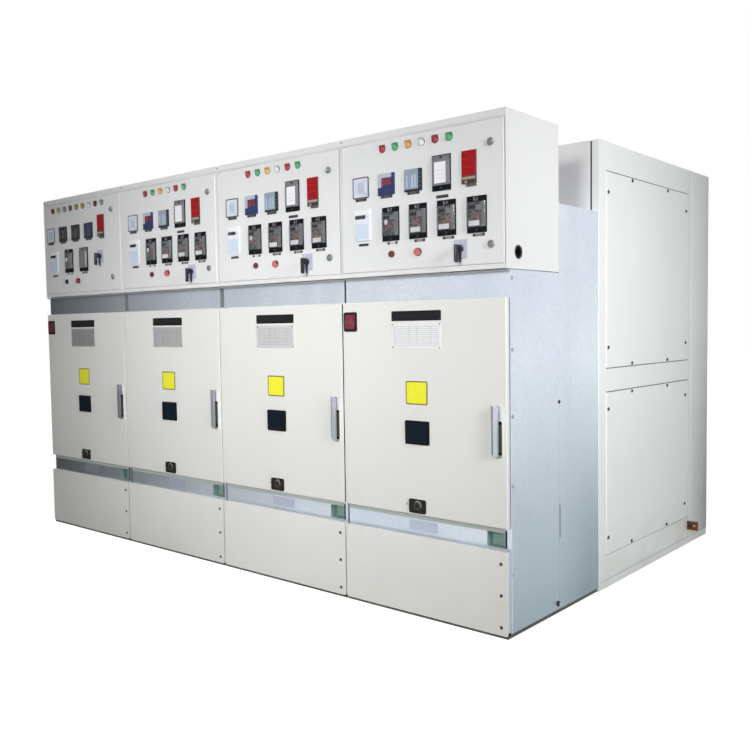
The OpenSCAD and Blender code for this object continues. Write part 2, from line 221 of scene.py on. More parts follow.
zincLook = {
    "metallic": 0.76,
    "spangle": 115.0,          # crystals about 8 mm across
    "fineSpangle": 310.0,
    "pale": shade(228, 236, 243), "blue": shade(210, 218, 232),
    "crystalTone": shade(180, 190, 204), "fineTone": shade(240, 244, 250), "runTone": shade(188, 198, 208),
    "bare": shade(236, 242, 246),
    "strips": (frontY + 0.0255, frontY + 0.034),   # just behind the face of the strips
    "floorReflectionTop": 1.15,          # height where the painted reflection of a darker floor begins
    "floorReflectionTone": shade(142, 160, 166),
    # painted shade, deepest low down towards the rear
    "lowRearShadeTone": shade(94, 116, 120), "lowRearShadeFrom": (frontY + 0.4, frontY + 0.7),
    "leftShadeSpan": (-1.8, -0.2), "leftShadeMost": 0.68,       # painted shade darkens the strips' zinc towards the left end
    "leftShadeTone": shade(40, 34, 30),
}


def galvanisedFinish(name):
    # hot-dip zinc: crystals of two sizes and wipe marks, with a painted reflection of a darker floor low down
    # that deepens towards the rear as painted shade, and painted shade that darkens the front strips towards
    # the left end
    look = zincLook
    tree, shader = startFinish(name, 0.45, metallic=look["metallic"])
    crystals = addNode(tree, "TexVoronoi", {"Vector": place(tree), "Scale": look["spangle"]})
    crystal = addNode(tree, "SeparateColor", {0: crystals.outputs["Color"]}).outputs[0]
    fine = addNode(tree, "TexVoronoi", {"Vector": place(tree), "Scale": look["fineSpangle"]})
    fineTone = addNode(tree, "SeparateColor", {0: fine.outputs["Color"]}).outputs[1]
    tone = blendColour(tree, spread(tree, clouds(tree, 1.1), 0.35, 0.65), look["pale"], look["blue"])
    tone = blendColour(tree, times(tree, crystal, 0.30), tone, look["crystalTone"])
    tone = blendColour(tree, times(tree, fineTone, 0.16), tone, look["fineTone"])
    runs = spread(tree, clouds(tree, 6.0, 4.0, (1.0, 1.0, 0.12)), 0.5, 0.75, 0.0, 0.25)
    tone = blendColour(tree, runs, tone, look["runTone"])
    # painted reflection of a darker floor, strongest low down behind the strips' face
    lowness = spread(tree, alongAxis(tree, "z"), 0.05, look["floorReflectionTop"], 1.0, 0.0)
    behind = spread(tree, alongAxis(tree, "y"), *look["strips"], 0.15, 1.0)
    tone = blendColour(tree, times(tree, lowness, behind), tone, look["floorReflectionTone"])
    # painted shade low down towards the rear
    rearward = spread(tree, alongAxis(tree, "y"), *look["lowRearShadeFrom"], 0.0, 0.6)
    foot = times(tree, times(tree, lowness, lowness), rearward)
    tone = blendColour(tree, foot, tone, look["lowRearShadeTone"])
    # painted shade: the front strips darker towards the left end
    leftShadeAmount = spread(tree, alongAxis(tree, "x"), *look["leftShadeSpan"], look["leftShadeMost"], 0.0)
    forward = spread(tree, alongAxis(tree, "y"), *look["strips"], 1.0, 0.3)
    tone = blendColour(tree, times(tree, leftShadeAmount, forward), tone, look["leftShadeTone"])
    tone = tintedEdges(tree, tone, 0.002, 0.2, look["bare"])
    relief = bumpFrom(tree, crystal, 0.00012, 0.06)
    relief = bumpFrom(tree, clouds(tree, 26.0, 3.0), 0.0005, 0.15, relief)
    join(tree, shader, tone, spread(tree, crystal, 0.0, 1.0, 0.29, 0.36), relief)


def mouldedFinish(name, colour, roughness, specular=0.3, grain=900.0, edge=1.5, coat=0.0):
    # moulded plastic: fine grain, slight flow marks, paler rubbed edges
    tree, shader = startFinish(name, roughness, specular=specular, coat=coat)
    tone = blendColour(tree, patchy(tree, 22.0, 4.0, 0.0, 1.0), colour, dimmed(colour, 0.88))
    specks = spread(tree, clouds(tree, 240.0, 2.0), 0.66, 0.78, 0.0, 0.35)
    tone = blendColour(tree, specks, tone, dimmed(colour, 1.25))
    tone = tintedEdges(tree, tone, 0.0009, patchy(tree, 60.0, 4.0, 0.2, 0.8), dimmed(colour, edge))
    gloss = patchy(tree, 40.0, 4.0, max(roughness - 0.07, 0.04), roughness + 0.08)
    join(tree, shader, tone, gloss, bumpFrom(tree, clouds(tree, grain, 2.0), 0.00005, 0.5))


def metalFinish(name, colour, roughness, stretch=(1.0, 1.0, 1.0), tarnish=0.85):
    # bare or plated metal: fine scratches, tarnish in patches, bright edges
    tree, shader = startFinish(name, roughness, metallic=1.0)
    patches = spread(tree, clouds(tree, 45.0, 5.0), 0.35, 0.7)
    tone = blendColour(tree, patches, colour, dimmed(colour, tarnish))
    tone = tintedEdges(tree, tone, 0.0008, 0.6, dimmed(colour, 1.3))
    scratches = clouds(tree, 350.0, 3.0, stretch)
    gloss = spread(tree, scratches, 0.3, 0.7, roughness - 0.08, roughness + 0.12)
    join(tree, shader, tone, gloss, bumpFrom(tree, scratches, 0.00003, 0.5))


def clearFinish(name, colour, roughness):
    # clear moulding or glass with a faint film of dust and fingerprints
    tree, shader = startFinish(name, roughness)
    shader.inputs["Transmission Weight"].default_value = 1.0
    shader.inputs["IOR"].default_value = 1.3
    tone = blendColour(tree, spread(tree, clouds(tree, 28.0, 5.0), 0.4, 0.75), colour, dimmed(colour, 0.93))
    gloss = spread(tree, clouds(tree, 60.0, 5.0), 0.35, 0.75, roughness, roughness + 0.12)
    join(tree, shader, tone, gloss, bumpFrom(tree, clouds(tree, 12.0, 2.0), 0.0002, 0.2))


def satinFinish(name, lower, upper, heights, metallic=0.65):
    # satin metal whose tone changes with height
    tree, shader = startFinish(name, 0.34, metallic=metallic, specular=0.4)
    tone = blendColour(tree, spread(tree, alongAxis(tree, "z"), *heights), lower, upper)
    cloudy = spread(tree, clouds(tree, 40.0, 4.0), 0.35, 0.7)
    tone = blendColour(tree, times(tree, cloudy, 0.2), tone, dimmed(lower, 0.8))
    tone = tintedEdges(tree, tone, 0.003, 0.4, shade(224, 226, 230))
    grain = bumpFrom(tree, clouds(tree, 700.0, 3.0), 0.0002, 0.2)
    join(tree, shader, tone, patchy(tree, 90.0, 4.0, 0.28, 0.42), grain)


def lensFinish(name, colour, shadow):
    # coloured lens with painted shade where it curves up and aside, standing in for the reflection of an
    # unlit ceiling, and its hood in a tone halfway to that shade, also painted shade
    tree, shader = startFinish(name, 0.16, specular=0.3, coat=0.2)
    normal = addNode(tree, "NewGeometry").outputs["Normal"]
    upAside = (0.5, 0.0, 0.87)
    lean = addNode(tree, "VectorMath", {0: normal, 1: upAside}, operation="DOT_PRODUCT").outputs["Value"]
    tone = blendColour(tree, spread(tree, lean, 0.12, 0.5), colour, shadow)
    depth = spread(tree, clouds(tree, 130.0, 3.0), 0.35, 0.65)
    tone = blendColour(tree, times(tree, depth, 0.25), tone, dimmed(colour, 0.6))
    ribs = addNode(tree, "TexWave", {"Vector": place(tree), "Scale": 190.0, "Distortion": 0.4})
    relief = bumpFrom(tree, ribs.outputs[1], 0.0002, 0.25)
    join(tree, shader, tone, patchy(tree, 80.0, 4.0, 0.1, 0.24), relief)
    mouldedFinish(name + "HoodShade", [(a + b) / 2 for a, b in zip(colour, shadow)], 0.45, 0.2)


def mottledFinish(name, first, second, third):
    # works behind a cover, too small to model: patches of three tones
    tree, shader = startFinish(name, 0.5, specular=0.2)
    tone = blendColour(tree, spread(tree, clouds(tree, 85.0, 3.0), 0.42, 0.58), first, second)
    tone = blendColour(tree, spread(tree, clouds(tree, 120.0, 3.0, (1.0, 1.0, 0.5)), 0.52, 0.64), tone, third)
    relief = bumpFrom(tree, clouds(tree, 300.0, 2.0), 0.0003, 0.4)
    join(tree, shader, tone, patchy(tree, 60.0, 4.0, 0.4, 0.6), relief)


paints = {   # screen colour, roughness, and how much dust settles on top
    "boxPaint": (225, 226, 226, 0.38, 0.35), "chamberPaint": (228, 227, 228, 0.5, 0.35),
    "doorPaint": (228, 228, 224, 0.36, 0.35), "coverPaint": (234, 234, 229, 0.4, 0.35),
    "dialPaper": (210, 216, 230, 0.5, 0.0), "dialShade": (188, 196, 212, 0.5, 0.0),
    "leverEdge": (142, 143, 152, 0.34, 0.1), "dishPaint": (214, 214, 214, 0.45, 0.2),
    "cupPaint": (112, 124, 112, 0.45, 0.2), "cupLight": (156, 172, 158, 0.4, 0.2),
    "gapGrey": (176, 178, 176, 0.5, 0.1), "footGrey": (150, 152, 152, 0.5, 0.1),
    "sealBand": (178, 187, 180, 0.5, 0.1), "linerTeal": (136, 166, 158, 0.5, 0.1),
    "foldShade": (190, 198, 216, 0.4, 0.0), "tablePrint": (162, 165, 168, 0.4, 0.1),
    "oliveRim": (92, 92, 44, 0.4, 0.1), "switchPlate": (190, 190, 208, 0.36, 0.1),
    "energyPaint": (226, 230, 240, 0.34, 0.12), "energyPanel": (206, 218, 234, 0.36, 0.1),
    "screenWhite": (238, 238, 240, 0.3, 0.0), "labelPale": (214, 204, 204, 0.42, 0.05),
}
for name, (*colour, roughness, dust) in paints.items():
    paintFinish(name, shade(*colour), roughness, dust=dust)
paintFinish("enclosurePaint", shade(232, 236, 233), 0.42, grime=0.28)
paintFinish("basePaint", shade(62, 72, 70), 0.55, grime=0.3, edge=shade(96, 104, 100), specular=0.25)
paintFinish("bezelPaint", shade(84, 84, 88), 0.42, dust=0.2, edge=shade(120, 122, 128))
paintFinish("yellowPlate", shade(240, 236, 52), 0.36, dust=0.12, edge=shade(214, 206, 60))
# posts with their painted shade's tone
postFinish("postPaint", shade(228, 234, 231), shade(104, 110, 110))
galvanisedFinish("galvanised")

bayShadeShares = {1: 0.48, 2: 0.68, 3: 0.86, 4: 1.0}   # painted shade: levers, data plates, their rulings and the strip labels darker towards the left end
for bay, share in bayShadeShares.items():
    leverLow, leverHigh, silver = shade(192, 202, 204), shade(212, 211, 230), shade(236, 237, 238)
    satinFinish(f"leverPaint{bay}", dimmed(leverLow, share), dimmed(leverHigh, share), (0.86, 0.93))
    satinFinish(f"plateSilver{bay}", dimmed(silver, share), dimmed(silver, share), (0.0, 1.0), 0.5)
    paintFinish(f"plateRuling{bay}", dimmed(shade(158, 160, 164), share * share), 0.4, dust=0.1)
    paintFinish(f"stripLabel{bay}", dimmed(shade(190, 198, 216), share), 0.4, dust=0.0)

mouldings = {   # screen colour, roughness and specular level
    "blackMould": (38, 39, 42, 0.42, 0.3), "deepBlack": (15, 18, 22, 0.55, 0.08),
    "windowDark": (13, 26, 38, 0.18, 0.08), "nameBlack": (32, 31, 34, 0.5, 0.12),
    "socketGreen": (30, 34, 22, 0.4, 0.15), "socketBrown": (34, 27, 20, 0.4, 0.15),
    "pocketDark": (70, 72, 66, 0.6, 0.15), "mauveGrey": (138, 130, 142, 0.5, 0.2),
    "frostGrey": (126, 126, 126, 0.5, 0.2), "lavender": (188, 190, 206, 0.4, 0.3),
    "greyMould": (118, 120, 124, 0.42, 0.3), "labelBlack": (64, 62, 64, 0.5, 0.2),
    "labelMauve": (150, 142, 148, 0.5, 0.2), "labelWhite": (252, 248, 244, 0.5, 0.2),
    "navyPanel": (44, 54, 98, 0.35, 0.3), "greyPanel": (146, 162, 180, 0.3, 0.3),
    "paleStreak": (176, 194, 206, 0.3, 0.3), "alarmRed": (162, 14, 24, 0.35, 0.2),
    "alarmLine": (104, 6, 12, 0.5, 0.3), "alarmBeige": (166, 154, 134, 0.45, 0.3),
    "keyBrown": (74, 62, 58, 0.45, 0.3), "coilBrown": (128, 92, 78, 0.5, 0.3),
    "coilGrey": (88, 84, 86, 0.45, 0.3),
}
for name, (*colour, roughness, specular) in mouldings.items():
    mouldedFinish(name, shade(*colour), roughness, specular)
mouldedFinish("glossBlack", shade(32, 33, 36), 0.25, grain=300.0)
mouldedFinish("navyBlack", shade(30, 33, 46), 0.3, grain=300.0)
mouldedFinish("displayRed", shade(124, 42, 62), 0.25, coat=0.2)
mouldedFinish("displayDark", shade(52, 56, 60), 0.25, coat=0.3)
mouldedFinish("ink", shade(44, 46, 50), 0.6, 0.1, edge=1.0)
mouldedFinish("rubber", shade(46, 48, 48), 0.7, 0.15, grain=500.0)

metals = {   # screen colour and roughness
    "lockSteel": (146, 148, 152, 0.36), "zincBolt": (176, 180, 184, 0.38), "darkBolt": (70, 72, 74, 0.42),
    "chrome": (214, 216, 220, 0.16), "brass": (196, 160, 88, 0.3),
}
for name, (*colour, roughness) in metals.items():
    metalFinish(name, shade(*colour), roughness)
metalFinish("copper", shade(122, 76, 52), 0.46, (0.15, 1.0, 1.0), 0.6)
clearFinish("clearCover", shade(240, 242, 246), 0.03)

lenses = {   # screen colours where the lens is lit and where it is in shadow
    "lensRed": (172, 56, 66, 66, 16, 26), "lensDarkRed": (128, 36, 50, 50, 12, 20),
    "lensGreen": (84, 176, 120, 20, 72, 36), "lensLime": (164, 172, 120, 88, 96, 56),
    "lensOlive": (128, 132, 78, 52, 56, 26), "lensTan": (172, 140, 112, 80, 58, 40),
    "lensSage": (132, 162, 140, 56, 78, 62), "lensAmber": (238, 174, 98, 98, 66, 18),
    "lensWhite": (236, 240, 242, 84, 94, 100), "lensGrey": (140, 148, 166, 60, 66, 78),
    "lensBrown": (70, 50, 46, 34, 22, 20), "buttonRed": (206, 104, 112, 76, 16, 34),
    "buttonMaroon": (112, 42, 38, 44, 16, 12),
}
for name, tones in lenses.items():
    lensFinish(name, shade(*tones[:3]), shade(*tones[3:]))
mottledFinish("relayWorks", shade(44, 44, 46), shade(112, 110, 108), shade(72, 66, 64))
mottledFinish("coilWorks", shade(74, 56, 50), shade(150, 116, 104), shade(104, 92, 96))
print("finishes made:", len(finishes))


def cubePart(low, high):
    part = bmesh.new()
    bmesh.ops.create_cube(part, size=1.0)
    low, high = Vector(low), Vector(high)
    bmesh.ops.scale(part, vec=high - low, verts=part.verts)
    bmesh.ops.translate(part, vec=(low + high) / 2, verts=part.verts)
    return part


def bevelEdges(part, edges, width, segments):
    bmesh.ops.bevel(part, geom=edges, offset=width, offset_type="OFFSET", segments=segments,
                    profile=0.5, affect="EDGES", material=-1, clamp_overlap=True)


def boxPart(low, high, bevel=0.0, segments=2):
    part = cubePart(low, high)
    if bevel > 0:
        bevelEdges(part, list(part.edges), bevel, segments)
    return part


def bevelFront(part, width):
    # rounds every edge that lies in the frontmost plane
    nearest = min(vert.co.y for vert in part.verts)
    rim = [edge for edge in part.edges if all(abs(v.co.y - nearest) < 1e-6 for v in edge.verts)]
    part.normal_update()
    rim = [edge for edge in rim if any(abs(face.normal.y) < 0.6 for face in edge.link_faces)]
    bevelEdges(part, rim, width, 2)


def deepEdges(part):
    # edges that run from front to back
    return [edge for edge in part.edges if abs(edge.verts[0].co.y - edge.verts[1].co.y) > 1e-6]


def platePart(low, high, corner=0.0, rim=0.0, segments=5):
    # plate that faces the front, its corners rounded, its front rim eased
    part = cubePart(low, high)
    if corner > 0:
        bevelEdges(part, deepEdges(part), corner, segments)
    if rim > 0:
        bevelFront(part, rim)
    return part


def cornerPlate(low, high, corners, rim=0.0):
    # plate with a radius for each corner as seen from the front: both lower ones, then both upper ones
    low, high = Vector(low), Vector(high)
    part = cubePart(low, high)
    spots = ((low.x, low.z), (high.x, low.z), (low.x, high.z), (high.x, high.z))
    for (x, z), radius in zip(spots, corners):
        corner = [edge for edge in part.edges
                  if all(abs(vert.co.x - x) < 1e-6 and abs(vert.co.z - z) < 1e-6 for vert in edge.verts)]
        if radius > 0:
            bevelEdges(part, corner, radius, 10)
    if rim > 0:
        bevelFront(part, rim)
    return part


def openFrame(low, high, border, corner, rim):
    # ring with a square hole, seen from the front
    low, high = Vector(low), Vector(high)
    size, centre = high - low, (low + high) / 2
    part = bmesh.new()
    upright = Matrix.Rotation(math.pi / 2, 4, "X")
    bmesh.ops.create_grid(part, x_segments=1, y_segments=1, size=0.5, matrix=upright)
    bmesh.ops.scale(part, vec=(size.x, 1.0, size.z), verts=part.verts)
    bmesh.ops.translate(part, vec=(centre.x, low.y, centre.z), verts=part.verts)
    field = list(part.faces)
    bmesh.ops.inset_region(part, faces=field, thickness=border, depth=0.0,
                           use_even_offset=True, use_boundary=True)
    bmesh.ops.delete(part, geom=field, context="FACES")
    grown = bmesh.ops.extrude_face_region(part, geom=list(part.faces))["geom"]
    grown = [item for item in grown if isinstance(item, bmesh.types.BMVert)]
    bmesh.ops.translate(part, vec=(0, size.y, 0), verts=grown)
    bmesh.ops.recalc_face_normals(part, faces=part.faces)
    outer = [edge for edge in deepEdges(part)
             if abs(abs(edge.verts[0].co.x - centre.x) - size.x / 2) < 1e-6]
    bevelEdges(part, outer, corner, 5)
    bevelFront(part, rim)
    return part


def framePart(low, high, border, recess, corner=0.0, rim=0.0):
    # plate with a sunken field inside a raised border
    part = platePart(low, high, corner)
    part.normal_update()
    front = [face for face in part.faces if face.normal.y < -0.9]
    for thickness, depth in ((border, 0.0), (0.0004, -recess)):
        bmesh.ops.inset_region(part, faces=front, thickness=thickness, depth=depth, use_even_offset=True)
    if rim > 0:
        bevelFront(part, rim)
    return part


def discPart(radius, thick, segments, rim=0.0):
    # disc standing on z = 0 along its own axis
    part = bmesh.new()
    bmesh.ops.create_cone(part, cap_ends=True, segments=segments, radius1=radius, radius2=radius, depth=thick)
    bmesh.ops.translate(part, vec=(0, 0, thick / 2), verts=part.verts)
    if rim > 0:
        top = [edge for edge in part.edges if all(v.co.z > thick - 1e-7 for v in edge.verts)]
        bevelEdges(part, top, rim, 2)
    return part


def turnedPart(profile, steps):
    # (radius, height) points turned round the part's own axis
    part = bmesh.new()
    verts = [part.verts.new((radius, 0.0, height)) for radius, height in profile]
    edges = [part.edges.new(pair) for pair in zip(verts, verts[1:])]
    bmesh.ops.spin(part, geom=verts + edges, cent=(0, 0, 0), axis=(0, 0, 1),
                   angle=math.tau, steps=steps, use_merge=True)
    bmesh.ops.remove_doubles(part, verts=part.verts, dist=1e-6)
    return part


def ringPart(outer, inner, thick):
    ease = thick * 0.3
    return turnedPart([(inner, 0), (outer, 0), (outer, thick - ease), (outer - ease, thick), (inner, thick),
                       (inner, 0)], 32)


def domedPart(radius, foot, start, rise, count, steps):
    # disc with upright sides from its foot to its shoulder at start, then a quarter ellipse up to the axis
    turns = [math.pi / 2 * i / count for i in range(count + 1)]
    dome = [(radius * math.cos(turn), start + rise * math.sin(turn)) for turn in turns]
    return turnedPart([(0, foot), (radius, foot)] + dome, steps)


def facing(centre, outward):
    return Matrix.Translation(centre) @ Vector(outward).to_track_quat("Z", "Y").to_matrix().to_4x4()


def onFront(x, z, out=0.0):
    # place for a turned part that looks out of the doors
    return facing((x, frontY - out, z), (0, -1, 0))


def onFace(box, left, low, right, high, out, back):
    # corners of a block on a device, as shares of its width and height; out and back are from the door face
    size = box[1] - box[0]
    return (Vector((box[0].x + left * size.x, frontY - out, box[0].z + low * size.z)),
            Vector((box[0].x + right * size.x, frontY - back, box[0].z + high * size.z)))


def middle(box):
    return (box[0] + box[1]) / 2


def endSide(box):
    # 1 for a solid at the right end of the line-up, -1 at the left
    return 1 if box[0].x > 0 else -1


def endX(box, side):
    # x of the box's right face, or of its left face for side -1
    return box[1].x if side > 0 else box[0].x


def layer(x, side, inward, outward):
    # near and far x of a thin layer on an end face
    return sorted((x - side * inward, x + side * outward))


scratch = bpy.data.meshes.new("scratch")


def newPiece():
    return {"mesh": bmesh.new(), "finishes": []}


def addPart(piece, part, finish, spot=None):
    if finish not in piece["finishes"]:
        piece["finishes"].append(finish)
    bmesh.ops.recalc_face_normals(part, faces=part.faces)
    for face in part.faces:
        face.material_index = piece["finishes"].index(finish)
    if spot:
        bmesh.ops.transform(part, matrix=spot, verts=part.verts)
    part.to_mesh(scratch)
    part.free()
    piece["mesh"].from_mesh(scratch)


def addBlocks(piece, box, blocks):
    # each block on a device: its shape, finish, place as onFace takes it, and the shape's own sizes
    for shape, finish, spot, *sizes in blocks:
        addPart(piece, shape(*onFace(box, *spot), *sizes), finish)


def addBetween(piece, low, high, block):
    # block between two corners: its shape, finish, the shift of each corner, and the shape's own sizes
    shape, finish, lowShift, highShift, *sizes = block
    addPart(piece, shape(Vector(low) + Vector(lowShift), Vector(high) + Vector(highShift), *sizes), finish)


def cornerSpots(box, aside, out):
    # a place near each corner of a plate, left to right and then upwards
    low, high = box
    heights = (low.z + aside, high.z - aside)
    return [onFront(x, z, out) for x in (low.x + aside, high.x - aside) for z in heights]


def finishPiece(piece, name, body, stands=()):
    mesh = bpy.data.meshes.new(name)
    piece["mesh"].to_mesh(mesh)
    piece["mesh"].free()
    for finish in piece["finishes"]:
        mesh.materials.append(finishes[finish])
    mesh.shade_smooth()
    mesh.set_sharp_from_angle(angle=math.radians(32))
    for face in mesh.polygons:
        if abs(face.normal.y) > 0.9999:
            face.use_smooth = False   # plates stay flat up to their eased rims
    obj = bpy.data.objects.new(name, mesh)
    scene.collection.objects.link(obj)
    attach(obj, body)
    if stands:
        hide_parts(*stands)


def finishBayPiece(piece, bay, name, body, slot, *stands):
    # a bay's piece, its body and the nodes it stands for all carry the bay's number
    finishPiece(piece, f"{name}_{bay}", f"{body}_{bay}", [f"{node}_{bay}" for node in stands])


def solidsOf(node):
    # lowest and highest corners of each separate solid of a CAD node, left to right and then upwards
    merged = bmesh.new()
    merged.from_mesh(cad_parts[node].data)
    bmesh.ops.remove_doubles(merged, verts=merged.verts, dist=1e-6)
    merged.verts.ensure_lookup_table()
    seen, boxes = set(), []
    for start in merged.verts:
        if start.index in seen:
            continue
        seen.add(start.index)
        island = [start]
        for vert in island:
            for other in [edge.other_vert(vert) for edge in vert.link_edges]:
                if other.index not in seen:
                    seen.add(other.index)
                    island.append(other)
        spots = [vert.co for vert in island]
        boxes.append((Vector([min(s[i] for s in spots) for i in range(3)]),
                      Vector([max(s[i] for s in spots) for i in range(3)])))
    merged.free()
    return sorted(boxes, key=lambda box: (round(box[0].x, 4), round(box[0].z, 4), round(box[0].y, 4)))


boltLook = {"washer": 1.55, "washerThick": 0.0012, "headHeight": 0.7, "chamfer": 0.0008}


def addBolt(piece, spot, radius, finish, height=None):
    # hexagon head on a round washer
    look = boltLook
    washer = discPart(radius * look["washer"], look["washerThick"], 20, 0.0004)
    addPart(piece, washer, finish, spot)
    head = discPart(radius, height or radius * look["headHeight"], 6, look["chamfer"])
    addPart(piece, head, finish, spot @ Matrix.Translation((0, 0, look["washerThick"] * 0.8)))


def addScrew(piece, spot, radius, height, finish):
    # domed screw with a cross slot
    addPart(piece, domedPart(radius, 0.0, height * 0.3, height * 0.7, 4, 20), finish, spot)
    long, thin = radius * 0.6, radius * 0.1
    for turn in (0, math.pi / 2):
        slot = cubePart((-long, -thin, height * 0.7), (long, thin, height * 1.02))
        addPart(piece, slot, "ink", spot @ Matrix.Rotation(turn, 4, "Z"))


def sortDevices(bay):
    # names each solid of the instruments by how far it stands out of the door and by its outline
    kinds = {key: [] for key in ("lamps", "buttons", "locks", "meters", "energy", "relays", "tall", "alarm",
                                 "switch", "backs")}
    half = middle(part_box(f"instrument_door_{bay}")).z
    for box in solidsOf(f"instruments_{bay}"):
        size, out = box[1] - box[0], round((frontY - box[0].y) * 1000)
        upper = middle(box).z > half
        if box[0].y > frontY:
            kinds["backs"].append(box)
        elif abs(size.x - size.z) < 0.001 and out in (10, 16):
            kinds["lamps" if upper else "buttons"].append(box)
        elif out == 9:
            kinds["locks"].append(box)
        elif out == 4:
            kinds["switch"].append(box)
        elif out == 11:
            kinds["tall" if upper and bay > 1 else "relays"].append(box)
        elif size.z < 1.2 * size.x:
            kinds["meters"].append(box)
        elif size.z < 1.6 * size.x:
            kinds["energy"].append(box)
        else:
            kinds["alarm"].append(box)
    return kinds


def shareSpot(box, across, up, out, rise=0.0):
    # place on a device as shares of its width and height, and metres above that
    size = box[1] - box[0]
    return onFront(box[0].x + across * size.x, box[0].z + up * size.z + rise, out)


labelLook = {"thick": 0.0012, "clipOut": 0.0020, "clips": ((0.0, 0.22), (0.78, 1.0)), "corner": 0.0012,
             "rivet": 0.0016}


def addLabel(piece, box, finish, aside, down, wide, high):
    # blank strip below a device between two dark clips, with a rivet in each
    look, x, top = labelLook, middle(box).x + aside, box[0].z - down
    strip = (Vector((x - wide / 2, frontY - look["thick"], top - high)), Vector((x + wide / 2, frontY, top)))
    addPart(piece, platePart(*strip, look["corner"], 0.0004, 3), finish)
    for left, right in look["clips"]:
        clip = onFace(strip, left, 0.0, right, 1.0, look["clipOut"], look["thick"])
        addPart(piece, platePart(*clip, look["corner"], 0.0003, 3), "labelBlack")
        rivet = discPart(look["rivet"], 0.0006, 12, 0.0002)
        addPart(piece, rivet, "darkBolt", onFront(middle(clip).x, middle(clip).z, look["clipOut"]))


dialLook = {
    "case": (0.005, 0.0014, 0.007, 0.0010),
    "blocks": (
        (platePart, "dialPaper", (0.06, 0.06, 0.94, 0.94, 0.0039, 0.002), 0.004, 0.0002),
        (platePart, "dialShade", (0.30, 0.22, 0.72, 0.76, 0.0041, 0.003), 0.006, 0.0001),
    ),
    "pivotIn": 0.017, "pivotOut": 0.0040, "hub": ((0, 0.0008), (0.003, 0.0008), (0.006, 0.0003), (0.006, 0)),
    "scaleRadius": 0.058, "ticks": 11, "tickLong": 0.007, "tickShort": 0.004, "tickHalf": 0.0003,
    "needleHalf": 0.0004, "needlePast": 0.004,
}


def addDialMeter(piece, box, share):
    # moving-iron meter: quadrant scale and a pointer at a share of its sweep
    look, radius = dialLook, dialLook["scaleRadius"]
    addPart(piece, framePart(*box, *look["case"]), "bezelPaint")
    addBlocks(piece, box, look["blocks"])
    pivot = Vector((box[1].x - look["pivotIn"], frontY - look["pivotOut"], box[0].z + look["pivotIn"]))
    for i in range(look["ticks"]):
        turn = Matrix.Rotation(-math.pi / 2 * i / (look["ticks"] - 1), 4, "Y")
        long, half = look["tickLong"] if i % 5 == 0 else look["tickShort"], look["tickHalf"]
        tick = cubePart((-half, -half, radius), (half, 0.0, radius + long))
        addPart(piece, tick, "bezelPaint", Matrix.Translation(pivot) @ turn)
    half, past = look["needleHalf"], look["needlePast"]
    needle = cubePart((-half, -0.0006, -past), (half, -0.0002, radius + past))
    sweep = Matrix.Rotation(-math.pi / 2 * share, 4, "Y")
    addPart(piece, needle, "coilGrey", Matrix.Translation(pivot) @ sweep)
    addPart(piece, turnedPart(look["hub"], 24), "lavender", facing(pivot, (0, -1, 0)))


digitalLook = {
    "case": (0.003, 0.0010), "keyOut": 0.0046,
    "blocks": (
        (platePart, "lavender", (0.01, 0.80, 0.82, 0.99, 0.0056, 0.004), 0.003, 0.0004),
        (platePart, "lavender", (0.01, 0.36, 0.22, 0.82, 0.0056, 0.004), 0.003, 0.0004),
        (framePart, "displayRed", (0.25, 0.44, 0.80, 0.76, 0.0060, 0.004), 0.002, 0.0006, 0.004),
        (cubePart, "coilGrey", (0.29, 0.53, 0.76, 0.542, 0.0057, 0.0050)),
        (cubePart, "coilGrey", (0.29, 0.65, 0.76, 0.662, 0.0057, 0.0050)),
    ),
    "keys": 4, "firstKey": 0.2, "keyPitch": 0.18, "keyUp": 0.016, "key": (0.0045, 0.0012, 20, 0.0005),
}


def addDigitalMeter(piece, box):
    # digital meter: navy case, pale band over its top and left, red display, keys below
    look = digitalLook
    addPart(piece, platePart(*box, *look["case"]), "navyPanel")
    addBlocks(piece, box, look["blocks"])
    for key in range(look["keys"]):
        across = look["firstKey"] + look["keyPitch"] * key
        spot = shareSpot(box, across, 0.0, look["keyOut"], look["keyUp"])
        addPart(piece, discPart(*look["key"]), "navyPanel", spot)


panelLook = {
    "case": (0.003, 0.0010), "keyOut": 0.0046,
    "screen": (0.02, 0.10, 0.80, 0.985, 0.0055, 0.004), "bars": ((0.10, 0.20), (0.40, 0.52), (0.60, 0.70)),
    "keys": 4, "keyAcross": 0.90, "keyUp": 0.020, "keyPitch": 0.018, "key": (0.0036, 0.0014, 18, 0.0005),
}


def addPanelMeter(piece, box, field, streak):
    # multifunction meter: broad screen with upright bars, dark key column on its right
    look = panelLook
    addPart(piece, platePart(*box, *look["case"]), "blackMould")
    addBlocks(piece, box, [(platePart, field, look["screen"], 0.003, 0.0004)])
    addBlocks(piece, box, [(platePart, streak, (left, 0.16, right, 0.74, 0.0059, 0.005), 0.002, 0.0003, 3)
                           for left, right in look["bars"]])
    for key in range(look["keys"]):
        spot = shareSpot(box, look["keyAcross"], 0.0, look["keyOut"], look["keyUp"] + look["keyPitch"] * key)
        addPart(piece, discPart(*look["key"]), "coilGrey", spot)


meterLook = {"label": (0.0, 0.001, 0.066, 0.012), "incomerNeedle": 0.3, "feederNeedle": 0.55}


def makeMeters(bay, devices):
    meters = newPiece()
    for i, box in enumerate(devices["meters"]):
        if i == 0:
            addDialMeter(meters, box, meterLook["incomerNeedle" if bay == 1 else "feederNeedle"])
        elif bay == 1:
            addPanelMeter(meters, box, "displayDark" if i < 3 else "navyPanel", "coilGrey")
        elif i == 1:
            addDigitalMeter(meters, box)
        else:
            addPanelMeter(meters, box, "greyPanel", "paleStreak")
        addLabel(meters, box, "coilGrey", *meterLook["label"])
    finishBayPiece(meters, bay, "meters", "instrument_door", "instrument_black", "instruments")


